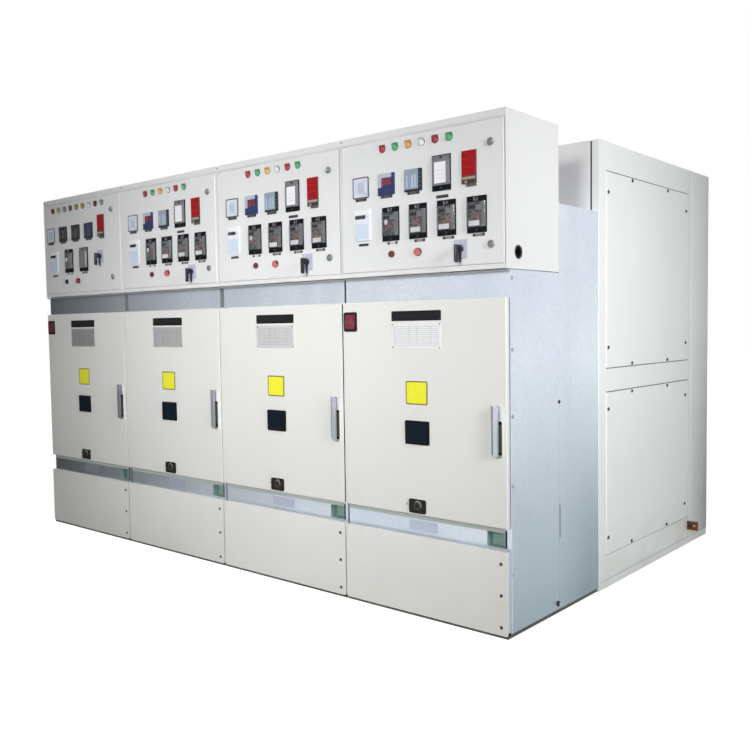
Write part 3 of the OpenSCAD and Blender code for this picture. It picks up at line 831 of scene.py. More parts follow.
relayLook = {
    "bezel": 0.005, "nutIn": 0.011,
    "nut": ((0, 0), (0.0055, 0), (0.0055, 0.0034), (0.0048, 0.0044), (0, 0.0044)),
    "cover": ((0.002, 0.0, 0.022), (-0.002, -0.0052, -0.022)), "wall": 0.0012,
    "blocks": (   # works, tap plate, right cheek, coil and its three turns, bar and its bracket
        (boxPart, "relayWorks", (0.05, 0.17, 0.76, 0.83, 0.0056, 0.004), 0.0005),
        (platePart, "greyMould", (0.34, 0.875, 0.58, 0.965, 0.0056, 0.004), 0.002),
        (boxPart, "frostGrey", (0.76, 0.16, 0.96, 0.84, 0.0088, 0.004), 0.0012),
        (boxPart, "coilWorks", (0.22, 0.34, 0.74, 0.56, 0.0078, 0.005), 0.002, 3),
        (boxPart, "coilBrown", (0.36, 0.34, 0.39, 0.55, 0.0082, 0.006), 0.0006),
        (boxPart, "coilBrown", (0.49, 0.34, 0.52, 0.55, 0.0082, 0.006), 0.0006),
        (boxPart, "coilBrown", (0.62, 0.34, 0.65, 0.55, 0.0082, 0.006), 0.0006),
        (platePart, "deepBlack", (0.08, 0.66, 0.72, 0.745, 0.0072, 0.005), 0.003),
        (boxPart, "frostGrey", (0.46, 0.62, 0.74, 0.76, 0.0074, 0.005), 0.0015, 3),
    ),
    "works": 0.0056, "disc": (0.014, 0.0016, 32, 0.0005), "discAt": (0.30, 0.70),
    "screws": ((0.20, 0.79), (0.42, 0.79), (0.64, 0.79)),
    "knob": (0.009, 0.0, 0.002, 0.0018, 5, 28), "knobAt": (0.25, 0.56), "knobTall": 1.35,
    "knobScrew": (0.70, 0.27),
    "plate": (boxPart, "labelWhite", (0.12, 0.19, 0.66, 0.33, 0.0090, 0.006), 0.0006),
    "label": (0.008, 0.003, 0.058, 0.012), "tallLabel": (0.002, 0.018, 0.062, 0.013),
}


def addRelayBase(piece, box):
    # black base with a knurled thumb nut in each end band
    look = relayLook
    base = (Vector((box[0].x, frontY - look["bezel"], box[0].z)), Vector((box[1].x, frontY, box[1].z)))
    addPart(piece, platePart(*base, 0.002, 0.0012, 3), "deepBlack")
    for z in (base[0].z + look["nutIn"], base[1].z - look["nutIn"]):
        addPart(piece, turnedPart(look["nut"], 14), "blackMould", onFront(middle(base).x, z, look["bezel"]))
    return base


def addRelayCover(covers, box):
    # open-backed clear cover with walls of real thickness
    near, far = (Vector(shift) for shift in relayLook["cover"])
    shell = platePart(box[0] + near, Vector((box[1].x, frontY, box[1].z)) + far, 0.003, 0.0015, 3)
    shell.normal_update()
    back = [face for face in shell.faces if face.normal.y > 0.9]
    bmesh.ops.delete(shell, geom=back, context="FACES")
    bmesh.ops.recalc_face_normals(shell, faces=shell.faces)
    bmesh.ops.solidify(shell, geom=list(shell.faces), thickness=relayLook["wall"])
    addPart(covers, shell, "clearCover")


def addInductionRelay(piece, covers, box, knob):
    # protection relay behind its clear cover: tap plate, coil, disc edge, flag and either a label or a knob
    look, base = relayLook, addRelayBase(piece, box)
    addRelayCover(covers, box)
    addBlocks(piece, base, look["blocks"])
    addPart(piece, discPart(*look["disc"]), "coilGrey", shareSpot(base, *look["discAt"], look["works"]))
    for spot in look["screws"]:
        addScrew(piece, shareSpot(base, *spot, look["works"]), 0.003, 0.0018, "darkBolt")
    if knob:
        oval = domedPart(*look["knob"])
        bmesh.ops.scale(oval, vec=(1.0, look["knobTall"], 1.0), verts=oval.verts)
        addPart(piece, oval, "screenWhite", shareSpot(base, *look["knobAt"], look["works"]))
        addScrew(piece, shareSpot(base, *look["knobScrew"], look["works"]), 0.003, 0.002, "chrome")
    else:
        addBlocks(piece, base, [look["plate"]])


def addTallRelay(piece, box, screen="screenWhite", cheek="mauveGrey"):
    # numerical relay: white screen between grey cheeks, three lines of figures left blank
    addBlocks(piece, addRelayBase(piece, box), (
        (platePart, "frostGrey", (0.03, 0.15, 0.97, 0.85, 0.0100, 0.004), 0.002, 0.001),
        (platePart, "greyMould", (0.04, 0.86, 0.96, 0.975, 0.0056, 0.004), 0.002),
        (platePart, cheek, (0.81, 0.16, 0.95, 0.84, 0.0104, 0.008), 0.002, 0.0006),
        (framePart, screen, (0.17, 0.21, 0.78, 0.80, 0.0109, 0.008), 0.0018, 0.0006, 0.002),
        (boxPart, "tablePrint", (0.26, 0.34, 0.70, 0.346, 0.0107, 0.0100)),
        (boxPart, "tablePrint", (0.26, 0.45, 0.70, 0.456, 0.0107, 0.0100)),
        (boxPart, "tablePrint", (0.26, 0.56, 0.70, 0.566, 0.0107, 0.0100)),
    ))


def makeRelays(bay, devices):
    relays, covers = newPiece(), newPiece()
    for i, box in enumerate(devices["relays"]):
        if bay == 1 and i == 1:
            addTallRelay(relays, box, "frostGrey", "labelPale")
        else:
            addInductionRelay(relays, covers, box, knob=i == 0)
        addLabel(relays, box, "labelPale" if i == 0 else "labelMauve", *relayLook["label"])
    for box in devices["tall"]:
        addTallRelay(relays, box)
        addLabel(relays, box, "labelBlack", *relayLook["tallLabel"])
    finishBayPiece(relays, bay, "relays", "instrument_door", "instrument_black", "instruments")
    finishBayPiece(covers, bay, "relay_covers", "instrument_door", "instrument_black")


alarmLook = {
    "case": ((platePart, "keyBrown", (0.0, 0.075, 1.0, 1.0, 0.0050, 0.0), 0.002, 0.0008, 3),
             (platePart, "coilGrey", (0.30, 0.0, 0.98, 0.10, 0.0048, 0.0), 0.002, 0.0008, 3)),
    "rows": 3, "low": 0.31, "high": 0.995, "gap": 0.006, "lineHalf": 0.006,
    "strip": (boxPart, "alarmBeige", (0.06, 0.20, 0.94, 0.27, 0.0058, 0.003), 0.0006),
    "keys": ("labelMauve", "blackMould", "blackMould"), "firstKey": 0.22, "keyPitch": 0.24, "keyWide": 0.15,
}


def makeAnnunciator(bay, devices):
    # alarm windows in rows, each with a line across it, over a strip and three keys
    alarm, look = newPiece(), alarmLook
    pitch = (look["high"] - look["low"]) / look["rows"]
    for box in devices["alarm"]:
        addBlocks(alarm, box, look["case"])
        for row in range(look["rows"]):
            low = look["low"] + row * pitch
            line, half = low + pitch / 2, look["lineHalf"]
            addBlocks(alarm, box, (
                (boxPart, "alarmRed", (0.02, low, 0.98, low + pitch - look["gap"], 0.0058, 0.003), 0.0010),
                (boxPart, "alarmLine", (0.06, line - half, 0.94, line + half, 0.0060, 0.005)),
            ))
        addBlocks(alarm, box, [look["strip"]])
        for i, finish in enumerate(look["keys"]):
            left = look["firstKey"] + i * look["keyPitch"]
            key = onFace(box, left, 0.09, left + look["keyWide"], 0.165, 0.0064, 0.003)
            addPart(alarm, boxPart(*key, 0.001), finish)
    finishBayPiece(alarm, bay, "annunciator", "instrument_door", "instrument_black")


energyLook = {
    "case": (0.004, 0.0014, 4),
    "blocks": (   # name strip, display and terminal cover
        (platePart, "screenWhite", (0.06, 0.86, 0.94, 0.97, 0.0056, 0.004), 0.001, 0.0004, 2),
        (framePart, "displayDark", (0.09, 0.70, 0.72, 0.82, 0.0060, 0.004), 0.0015, 0.0008),
        (platePart, "energyPanel", (0.07, 0.06, 0.93, 0.55, 0.0062, 0.004), 0.003, 0.0008, 3),
    ),
    "screws": (0.14, 0.86), "screwUp": 0.016, "screw": (0.0028, 0.0014),
    "keys": (0.80, 0.88), "keyUp": 0.108, "key": (0.003, 0.0014, 16, 0.0004),
    "label": (0.006, 0.012, 0.058, 0.012),
}


def makeEnergyMeter(bay, devices):
    # pale energy meter: display, keys, terminal cover with its two screws, and a label below
    meter, look = newPiece(), energyLook
    for box in devices["energy"]:
        addPart(meter, platePart(*box, *look["case"]), "energyPaint")
        addBlocks(meter, box, look["blocks"])
        for across in look["screws"]:
            addScrew(meter, shareSpot(box, across, 0.0, 0.0060, look["screwUp"]), *look["screw"], "zincBolt")
        for across in look["keys"]:
            spot = shareSpot(box, across, 0.0, 0.0050, look["keyUp"])
            addPart(meter, discPart(*look["key"]), "lavender", spot)
        addLabel(meter, box, "labelBlack", *look["label"])
    finishBayPiece(meter, bay, "energy_meter", "instrument_door", "box_white")


lampLook = {
    "ring": (0.0022, 32, 0.0005), "lensShare": 0.94, "lensFoot": 0.001, "wallShare": 0.3, "crown": 0.0004,
    "hood": (-0.93, 0.34, 0.93, 0.97), "hoodOut": 0.0062,   # in radii from the middle
    "hoodCorners": (0.002, 0.002, 0.004, 0.004),
    "incomer": ("lensDarkRed", "lensLime", "lensGrey", "lensDarkRed", "lensOlive", "lensTan", "lensWhite",
                "lensBrown", "lensSage"),
    "feeder": ("lensRed", "lensGreen", "lensAmber", "lensWhite", "lensRed", "lensGreen"),
}


def makeLamps(bay, devices):
    # domed lens on a thin dark ring, with a square-shouldered hood behind its top whose dark tone is painted
    # shade
    lamps, look = newPiece(), lampLook
    for box, colour in zip(devices["lamps"], look["incomer" if bay == 1 else "feeder"]):
        centre, radius, out = middle(box), (box[1].x - box[0].x) / 2, frontY - box[0].y
        spot = onFront(centre.x, centre.z)
        addPart(lamps, discPart(radius, *look["ring"]), "glossBlack", spot)
        lens, wall = radius * look["lensShare"], out * look["wallShare"]
        dome = domedPart(lens, look["lensFoot"], wall, out - wall - look["crown"], 7, 36)
        addPart(lamps, dome, colour, spot)
        left, low, right, high = (radius * share for share in look["hood"])
        hood = cornerPlate((centre.x + left, frontY - look["hoodOut"], centre.z + low),
                           (centre.x + right, frontY - 0.0005, centre.z + high), look["hoodCorners"], 0.0008)
        # the hood's half-shaded tone paints the lamp's dark shoulders
        addPart(lamps, hood, colour + "HoodShade")
    finishBayPiece(lamps, bay, "pilot_lamps", "instrument_door", "switch_black")


buttonLook = {
    "incomer": ("glossBlack", "lensRed"), "feeder": ("buttonMaroon", "buttonRed"),
    "ringShare": 0.9, "ringThick": 0.003, "capShare": 0.93, "capFoot": 0.001,
    "wallShare": 0.8, "domeShare": 0.19,   # shares of how far the cap stands out
}


def makeButtons(bay, devices):
    # push buttons: ring and raised cap, the larger one a mushroom
    buttons, look = newPiece(), buttonLook
    for box, finish in zip(devices["buttons"], look["incomer" if bay == 1 else "feeder"]):
        radius, out = (box[1].x - box[0].x) / 2, frontY - box[0].y
        spot = onFront(middle(box).x, middle(box).z)
        addPart(buttons, ringPart(radius, radius * look["ringShare"], look["ringThick"]), "glossBlack", spot)
        cap = domedPart(radius * look["capShare"], look["capFoot"], out * look["wallShare"],
                        out * look["domeShare"], 6, 36)
        addPart(buttons, cap, finish, spot)
    finishBayPiece(buttons, bay, "push_buttons", "instrument_door", "switch_black")


lockLook = {   # profiles from the rim or the middle, without the body's own outer edge
    "body": ((0.0105, 0.002), (0.0105, 0.0088), (0.0122, 0.0088)), "bodyEdge": 0.0050,
    "core": (0.0106, 0.0054, 32),
    "cup": ((0, 0.0062), (0.0052, 0.0062), (0.0066, 0.0086), (0.0082, 0.0086), (0.0082, 0.004)),
    "bitApart": 0.0028, "bitHalf": (0.0012, 0.0018), "bitDeep": (0.005, 0.0084), "bitTurn": 0.6,
}


def makeLocks(bay, devices):
    # quarter-turn locks with a double-bit insert
    locks, look = newPiece(), lockLook
    for box in devices["locks"]:
        radius, spot = (box[1].x - box[0].x) / 2, onFront(middle(box).x, middle(box).z)
        body = look["body"] + ((radius, look["bodyEdge"]), (radius, 0))
        addPart(locks, turnedPart(body, 36), "lockSteel", spot)
        addPart(locks, discPart(*look["core"]), "coilGrey", spot)
        addPart(locks, turnedPart(look["cup"], 32), "lockSteel", spot)
        (halfX, halfY), (low, high) = look["bitHalf"], look["bitDeep"]
        for y in (-look["bitApart"], look["bitApart"]):
            bit = boxPart((-halfX, y - halfY, low), (halfX, y + halfY, high), 0.0003)
            addPart(locks, bit, "zincBolt", spot @ Matrix.Rotation(look["bitTurn"], 4, "Z"))
    finishBayPiece(locks, bay, "door_locks", "instrument_door", "galvanised")


switchLook = {
    "out": 0.004, "ring": (0.0185, 0.0145, 0.0012),
    "marks": (-45, 0, 45), "markHalf": 0.0012, "mark": (0.0235, 0.0300), "markThick": 0.0003,
    "screwsAside": (-0.028, 0.028), "screwsUp": (-0.033, 0.033), "screw": (0.0028, 0.0018),
}


def makeSwitchPlate(bay, devices):
    # escutcheon of the control switch: position marks round the shaft and a screw in each corner
    plate, look = newPiece(), switchLook
    for box in devices["switch"]:
        centre = middle(box)
        addPart(plate, platePart(*box, 0.004, 0.001, 4), "switchPlate")
        spot = onFront(centre.x, centre.z, look["out"])
        addPart(plate, ringPart(*look["ring"]), "mauveGrey", spot)
        half, (near, far) = look["markHalf"], look["mark"]
        for turn in look["marks"]:
            mark = cubePart((-half, near, 0.0), (half, far, look["markThick"]))
            addPart(plate, mark, "coilGrey", spot @ Matrix.Rotation(math.radians(turn), 4, "Z"))
        for aside in look["screwsAside"]:
            for up in look["screwsUp"]:
                corner = onFront(centre.x + aside, centre.z + up, look["out"])
                addScrew(plate, corner, *look["screw"], "zincBolt")
    finishBayPiece(plate, bay, "switch_plate", "instrument_door", "instrument_black")


gripLook = {
    "shaftDown": 0.0175,   # the shaft below the top of the grip
    "boss": ((0, 0.0045), (0.0128, 0.0045), (0.0128, 0.017), (0.0115, 0.023), (0, 0.023)),
    "handle": (platePart, "glossBlack", (-0.0065, 0.0004, 0.0), (0.0065, 0.0155, 0.0), 0.006, 0.004, 6),
    "arm": (platePart, "glossBlack", (-0.0075, 0.006, -0.011), (0.0075, -0.012, -0.0005), 0.006, 0.003, 6),
    "rib": (platePart, "blackMould", (-0.0071, 0.004, 0.010), (0.0071, 0.012, 0.013), 0.0012),
    "ribs": 5, "ribPitch": 0.008,
    "leg": ((-0.00675, -0.0118, 0.001), (0.00675, -0.0072, 0.009)), "taper": 0.5,
}


def makeGrip(bay):
    # pistol grip: boss on the shaft, arm, hanging handle with finger grooves, and a tapered pointer behind it
    grip, look = newPiece(), gripLook
    low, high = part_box(f"control_switch_{bay}")
    x, z = (low.x + high.x) / 2, high.z - look["shaftDown"]
    addPart(grip, turnedPart(look["boss"], 32), "navyBlack", onFront(x, z))
    addBetween(grip, (x, low.y, low.z), (x, low.y, high.z), look["handle"])
    addBetween(grip, (x, low.y, z), (x, frontY, high.z), look["arm"])
    for i in range(look["ribs"]):
        foot = (x, low.y, low.z + look["ribPitch"] * i)
        addBetween(grip, foot, foot, look["rib"])
    near, far = (Vector(shift) for shift in look["leg"])
    pointer = platePart(Vector((x, frontY, low.z)) + near, Vector((x, frontY, z)) + far, 0.004, 0.0012)
    for vert in pointer.verts:
        down = max(0.0, (z - vert.co.z) / (z - low.z))
        vert.co.x = x + (vert.co.x - x) * (1.0 - look["taper"] * down)
    addPart(grip, pointer, "navyBlack")
    finishBayPiece(grip, bay, "switch_grip", "control_switch", "switch_black", "control_switch")


backLook = {
    "shallow": 0.045,   # round backs of lamps and buttons are less deep than this
    "caseShort": 0.006, "rows": (0.22, 0.78),
    "strip": (boxPart, "greyMould", (0.006, -0.008, -0.007), (-0.006, -0.001, 0.007), 0.001),
    "pitch": 0.016, "terminalIn": 0.001, "terminal": (0.0032, 0.0009, 10, 0.0003),
}


def makeBacks(bay, devices):
    # cases behind the door with terminal rows
    backs, look = newPiece(), backLook
    for low, high in devices["backs"]:
        size, centre = high - low, (low + high) / 2
        if size.y < look["shallow"]:
            spot = facing((centre.x, low.y, centre.z), (0, 1, 0))
            addPart(backs, discPart(size.x / 2, size.y, 20, 0.001), "greyMould", spot)
            continue
        addPart(backs, boxPart(low, high - Vector((0, look["caseShort"], 0)), 0.002), "blackMould")
        count = max(2, int(size.x / look["pitch"]))
        for row in look["rows"]:
            z = low.z + row * size.z
            addBetween(backs, (low.x, high.y, z), (high.x, high.y, z), look["strip"])
            for i in range(count):
                x, y = low.x + size.x * (i + 0.5) / count, high.y - look["terminalIn"]
                addPart(backs, discPart(*look["terminal"]), "brass", facing((x, y, z), (0, 1, 0)))
    finishBayPiece(backs, bay, "instrument_cases", "instrument_door", "instrument_black")


for bay in bays:
    devices = sortDevices(bay)
    print("bay", bay, {kind: len(found) for kind, found in devices.items()})
    for make in (makeMeters, makeRelays, makeAnnunciator, makeEnergyMeter, makeLamps, makeButtons, makeLocks,
                 makeSwitchPlate):
        make(bay, devices)
    makeGrip(bay)
    makeBacks(bay, devices)
print("instruments made")


def sortFittings(bay):
    # fittings of a door by height: window, blank plate, name plate, data plate, socket, dish and lens
    kinds = {}
    doorLow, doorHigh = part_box(f"breaker_door_{bay}")
    for box in solidsOf(f"door_fittings_{bay}"):
        size, out = box[1] - box[0], round((frontY - box[0].y) * 10000)
        if size.x > 0.2:
            kinds["name" if size.z < 0.08 else "data"] = box
        elif size.z > 0.18:
            kinds["dish"] = box
        elif out < 20:
            kinds["blank"] = box
        elif middle(box).z > doorHigh.z - 0.2:
            kinds["lens"] = box
        elif middle(box).z < doorLow.z + 0.1:
            kinds["socket"] = box
        else:
            kinds["window"] = box
    return kinds


plateLook = {
    "case": (0.003, 0.0004, 4), "screwIn": 0.007, "screwOut": 0.0014, "screw": (0.0032, 0.0018),
    "nameField": (framePart, "nameBlack", (0.015, 0.09, 0.985, 0.91, 0.0021, 0.0008), 0.0012, 0.0003, 0.002),
    "table": (0.06, 0.14, 0.94, 0.86),           # ruled part of the data plate, as shares of it
    "columns": (0.06, 0.36, 0.52, 0.80, 0.94),   # and its upright rulings
    "rows": 9, "rowLine": 0.009, "columnLine": 0.004, "lineOut": 0.0017, "lineBack": 0.0010,
}


def makePlates(bay, fittings):
    # blank name plate, and a data plate with an empty ruled table
    plates, look = newPiece(), plateLook
    name, data = fittings["name"], fittings["data"]
    addPart(plates, platePart(*name, *look["case"]), "deepBlack")
    addBlocks(plates, name, [look["nameField"]])
    addPart(plates, platePart(*data, *look["case"]), f"plateSilver{bay}")
    left, low, right, high = look["table"]
    lines = [low + row * (high - low) / look["rows"] for row in range(look["rows"] + 1)]
    lines = [(left, line, right, line + look["rowLine"]) for line in lines]
    lines += [(share, low, share + look["columnLine"], high + look["rowLine"]) for share in look["columns"]]
    for line in lines:
        ruling = cubePart(*onFace(data, *line, look["lineOut"], look["lineBack"]))
        addPart(plates, ruling, f"plateRuling{bay}")
    for box in (name, data):
        for spot in cornerSpots(box, look["screwIn"], look["screwOut"]):
            addScrew(plates, spot, *look["screw"], "darkBolt")
    finishBayPiece(plates, bay, "door_plates", "breaker_door", "fitting_black", "door_fittings")


blankLook = {
    "field": (platePart, "yellowPlate", (0.045, 0.05, 0.955, 0.95, 0.0019, 0.0012), 0.006, 0.0003, 6),
    "rivetIn": 0.012, "rivetOut": 0.0019, "rivet": (0.0022, 0.0008, 14, 0.0003),
}


def makeBlankPlate(bay, fittings):
    # rounded yellow plate with a dark rim and nothing on it
    plate, look, box = newPiece(), blankLook, fittings["blank"]
    addPart(plate, platePart(*box, 0.008, 0.0004, 6), "oliveRim")
    addBlocks(plate, box, [look["field"]])
    for x in (box[0].x + look["rivetIn"], box[1].x - look["rivetIn"]):
        addPart(plate, discPart(*look["rivet"]), "zincBolt", onFront(x, middle(box).z, look["rivetOut"]))
    finishBayPiece(plate, bay, "blank_plate", "breaker_door", "fitting_black")


windowLook = {
    "frame": (0.011, 0.006, 0.0012),   # border, corner and rim
    "seal": (framePart, "rubber", (0.007, -0.0052, 0.007), (-0.007, -0.002, -0.007), 0.007, 0.0006),
    "pane": (boxPart, "windowDark", (0.0125, -0.0058, 0.0125), (-0.0125, -0.0018, -0.0125), 0.0004),
    "screwIn": 0.006, "screwOut": 0.0070, "screw": (0.0022, 0.0009),
}


def makeWindow(bay, fittings):
    # black frame, rubber seal, dark glass and four screws
    window, look = newPiece(), windowLook
    low, high = fittings["window"]
    addPart(window, openFrame(low, high, *look["frame"]), "deepBlack")
    for block in (look["seal"], look["pane"]):
        addBetween(window, (low.x, frontY, low.z), (high.x, frontY, high.z), block)
    for spot in cornerSpots((low, high), look["screwIn"], look["screwOut"]):
        addScrew(window, spot, *look["screw"], "darkBolt")
    finishBayPiece(window, bay, "door_window", "breaker_door", "fitting_black")


socketLook = {
    "paleRim": (platePart, "screenWhite", (-0.003, -0.0012, 0.0), (0.0, 0.0, 0.005), 0.006, 0.0004),
    "half": (platePart, "socketGreen", (0.004, -0.0082, 0.003), (-0.003, -0.006, 0.012), 0.005, 0.0004),
    "out": 0.0080,         # face of the escutcheon
    "rounds": (            # painted highlight as a pale crescent on the bowl's lip, bowl, drive hole, its ring and the catch, placed aside, up and out
        (discPart, (0.0195, 0.0007, 36, 0.0003), "alarmBeige", (0.005, 0.006, 0.0)),
        (discPart, (0.0195, 0.0009, 36, 0.0003), "socketBrown", (0.002, 0.001, 0.0)),
        (discPart, (0.0135, 0.0004, 32), "ink", (0.002, 0.001, 0.0009)),
        (ringPart, (0.0165, 0.0140, 0.0006), "coilGrey", (0.002, 0.001, 0.0008)),
        (discPart, (0.006, 0.0006, 20), "ink", (-0.030, -0.022, 0.0)),
    ),
    "key": (0.0052, 0.0008, 20, 0.0003), "keyAt": (-0.014, 0.004),
}


def makeSocket(bay, fittings):
    # racking socket: raised escutcheon with a pale rim above and left of it, sunken bowl with a pale crescent
    # on its lip as a painted highlight, drive hole and catch
    socket, look = newPiece(), socketLook
    low, high = fittings["socket"]
    centre = middle((low, high))
    addBetween(socket, (low.x, frontY, low.z), (high.x, frontY, high.z), look["paleRim"])
    addPart(socket, platePart(low, high, 0.008, 0.0025, 5), "socketBrown")
    addBetween(socket, (centre.x, frontY, low.z), (high.x, frontY, centre.z), look["half"])
    for shape, sizes, finish, (aside, up, out) in look["rounds"]:
        spot = onFront(centre.x + aside, centre.z + up, look["out"] + out)
        addPart(socket, shape(*sizes), finish, spot)
    aside, up = look["keyAt"]
    addPart(socket, discPart(*look["key"]), "gapGrey", onFront(low.x + aside, centre.z + up))
    finishBayPiece(socket, bay, "racking_socket", "breaker_door", "fitting_black")


dishLook = {
    "case": ((0.026, 0.012, 0.004, 0.006), 0.0012),
    "blocks": (   # cup, pocket and the dark lines at the pocket's ends, slit, and two clips on the top edge
        (cornerPlate, "cupPaint", (0.02, 0.004, 0.98, 0.14, 0.0062, 0.004), (0.024, 0.011, 0.0, 0.0),
         0.0004),
        (cornerPlate, "cupLight", (0.06, 0.008, 0.97, 0.085, 0.0066, 0.005), (0.020, 0.009, 0.004, 0.008),
         0.0008),
        (platePart, "pocketDark", (0.42, 0.06, 0.985, 0.71, 0.0066, 0.004), 0.007),
        (platePart, "deepBlack", (0.42, 0.065, 0.985, 0.115, 0.0067, 0.006), 0.006),
        (platePart, "deepBlack", (0.42, 0.65, 0.985, 0.705, 0.0067, 0.006), 0.006),
        (cubePart, "coilGrey", (0.655, 0.70, 0.72, 0.985, 0.0062, 0.004)),
        (boxPart, "coilGrey", (0.0, 0.985, 0.10, 1.0, 0.0064, 0.003), 0.0006),
        (boxPart, "coilGrey", (0.52, 0.985, 0.66, 1.0, 0.0064, 0.003), 0.0006),
    ),
}


def makeDish(bay, fittings):
    # tray behind the lever: pale above, with a slit beside the lever, a dark pocket and a cup at its foot
    dish, box = newPiece(), fittings["dish"]
    addPart(dish, cornerPlate(*box, *dishLook["case"]), "dishPaint")
    addBlocks(dish, box, dishLook["blocks"])
    finishBayPiece(dish, bay, "handle_dish", "breaker_door", "fitting_black")


leverLook = {
    "corners": (0.022, 0.006, 0.002, 0.003), "thick": 0.012,
    "fold": 0.010, "lean": 0.005,   # width of the folded edge, and how far it leans back
    "hubDown": 0.015, "cap": (0.006, 0.0, 0.0001, 0.0001, 3, 28), "capIn": 0.0004,
    "shaft": ((0, 0.0068), (0.0148, 0.0068), (0.0148, 0.0145), (0, 0.0145)),
}


def makeLever(bay):
    # swing lever: flat blade with its left edge folded back, on a round shaft; the fold's darker paint is a
    # painted reflection
    lever, look = newPiece(), leverLook
    low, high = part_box(f"door_handle_{bay}")
    front, fold = low.y + 0.0002, low.x + look["fold"]
    blade = cornerPlate((low.x, front, low.z), (high.x, low.y + look["thick"], high.z), look["corners"])
    # the fold gets darker paint as a painted reflection, and each bay's blade its copy darkened as painted
    # shade
    for side, finish in ((1, "leverEdge"), (-1, f"leverPaint{bay}")):
        half = blade.copy()
        everything = half.verts[:] + half.edges[:] + half.faces[:]
        cut = bmesh.ops.bisect_plane(half, geom=everything, plane_co=(fold, 0, 0), plane_no=(side, 0, 0),
                                     clear_outer=True)
        rim = [item for item in cut["geom_cut"] if isinstance(item, bmesh.types.BMEdge)]
        bmesh.ops.edgeloop_fill(half, edges=rim)
        for vert in half.verts:
            if vert.co.y < front + 1e-5 and vert.co.x < fold:
                vert.co.y += (fold - vert.co.x) / look["fold"] * look["lean"]
        addPart(lever, half, finish)
    blade.free()
    x, z = (low.x + high.x) / 2, high.z - look["hubDown"]
    addPart(lever, domedPart(*look["cap"]), "leverEdge", onFront(x, z, frontY - low.y - look["capIn"]))
    addPart(lever, turnedPart(look["shaft"], 36), "leverEdge", onFront(x, z))
    finishBayPiece(lever, bay, "handle_lever", "door_handle", "handle_grey", "door_handle")


lensLook = {
    "case": (0.010, 0.0015, 6),
    "field": (framePart, "displayRed", (0.14, 0.14, 0.86, 0.86, 0.0075, 0.005), 0.004, 0.001, 0.006, 0.0008),
}


def makeLens(bay, fittings):
    # square red lens in a dark surround
    lens, box = newPiece(), fittings["lens"]
    addPart(lens, platePart(*box, *lensLook["case"]), "socketBrown")
    addBlocks(lens, box, [lensLook["field"]])
    finishBayPiece(lens, bay, "door_lens", "breaker_door", "fitting_black")


for bay in bays:
    fittings = sortFittings(bay)
    print("door", bay, sorted(fittings))
    for make in (makePlates, makeBlankPlate, makeWindow, makeSocket, makeDish):
        make(bay, fittings)
    makeLever(bay)
    if "lens" in fittings:
        makeLens(bay, fittings)
print("door fittings made")


endLook = {
    "boltIn": 0.038, "bolt": 0.0058, "boltHeights": (1.485, 1.194, 0.921, 0.633, 0.263),
    "foldBolt": 0.952, "foldBoltIn": 0.001,
    "studUp": 0.046, "studIn": 0.011, "studHead": 0.009, "stud": (0.0045, 0.018, 20, 0.0008),
    "layer": (0.0004, 0.0006), "fold": (cubePart, "foldShade", (0.0, -0.0008, 0.01), (0.0, 0.0008, 0.0)),
    "slot": (cubePart, "ink", (0.0, 0.0040, 0.343), (0.0, 0.0085, 0.490)),
}


def makeEndFittings(side, bay):
    # bolts, fold line, cut slot and earth stud on one galvanised end
    fittings, look, end = newPiece(), endLook, "right" if side > 0 else "left"
    cubicle, boxLow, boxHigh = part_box(f"cubicle_{bay}"), *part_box(f"instrument_box_{bay}")
    x, foldY, outward = endX(cubicle, side), boxHigh.y, (side, 0, 0)
    for z in look["boltHeights"]:
        addBolt(fittings, facing((x, frontY + look["boltIn"], z), outward), look["bolt"], "zincBolt")
    foldSpot = facing((x, foldY + look["foldBoltIn"], look["foldBolt"]), outward)
    addBolt(fittings, foldSpot, look["bolt"], "darkBolt")
    stud = facing((x, foldY - look["studIn"], look["studUp"]), outward)
    addBolt(fittings, stud, look["studHead"], "darkBolt")
    addPart(fittings, discPart(*look["stud"]), "zincBolt", stud)
    finishPiece(fittings, f"end_bolts_{end}", "switchboard")

    seams = newPiece()
    near, far = layer(x, side, *look["layer"])
    addBetween(seams, (near, foldY, cubicle[0].z), (far, foldY, boxLow.z), look["fold"])
    addBetween(seams, (near, foldY, 0.0), (far, foldY, 0.0), look["slot"])
    finishPiece(seams, f"end_seams_{end}", "switchboard")


coverLook = {
    "bolt": 0.0062, "thin": 0.0008, "edgeIn": 0.011, "sideIn": 0.018, "rearIn": 0.040,
    "along": (0.275, 0.71), "up": (0.104, 0.897),
    "gapLayer": (0.0002, 0.0022), "line": 0.0045, "rearLine": 0.0012,
}


def coverSpots(wide, high, rearIn):
    # bolt places on a cover, from its lower front corner
    look = coverLook
    spots = [(share * wide, z) for share in look["along"] for z in (look["edgeIn"], high - look["edgeIn"])]
    spots += [(across, share * high) for share in look["up"] for across in (look["sideIn"], wide - rearIn)]
    return spots


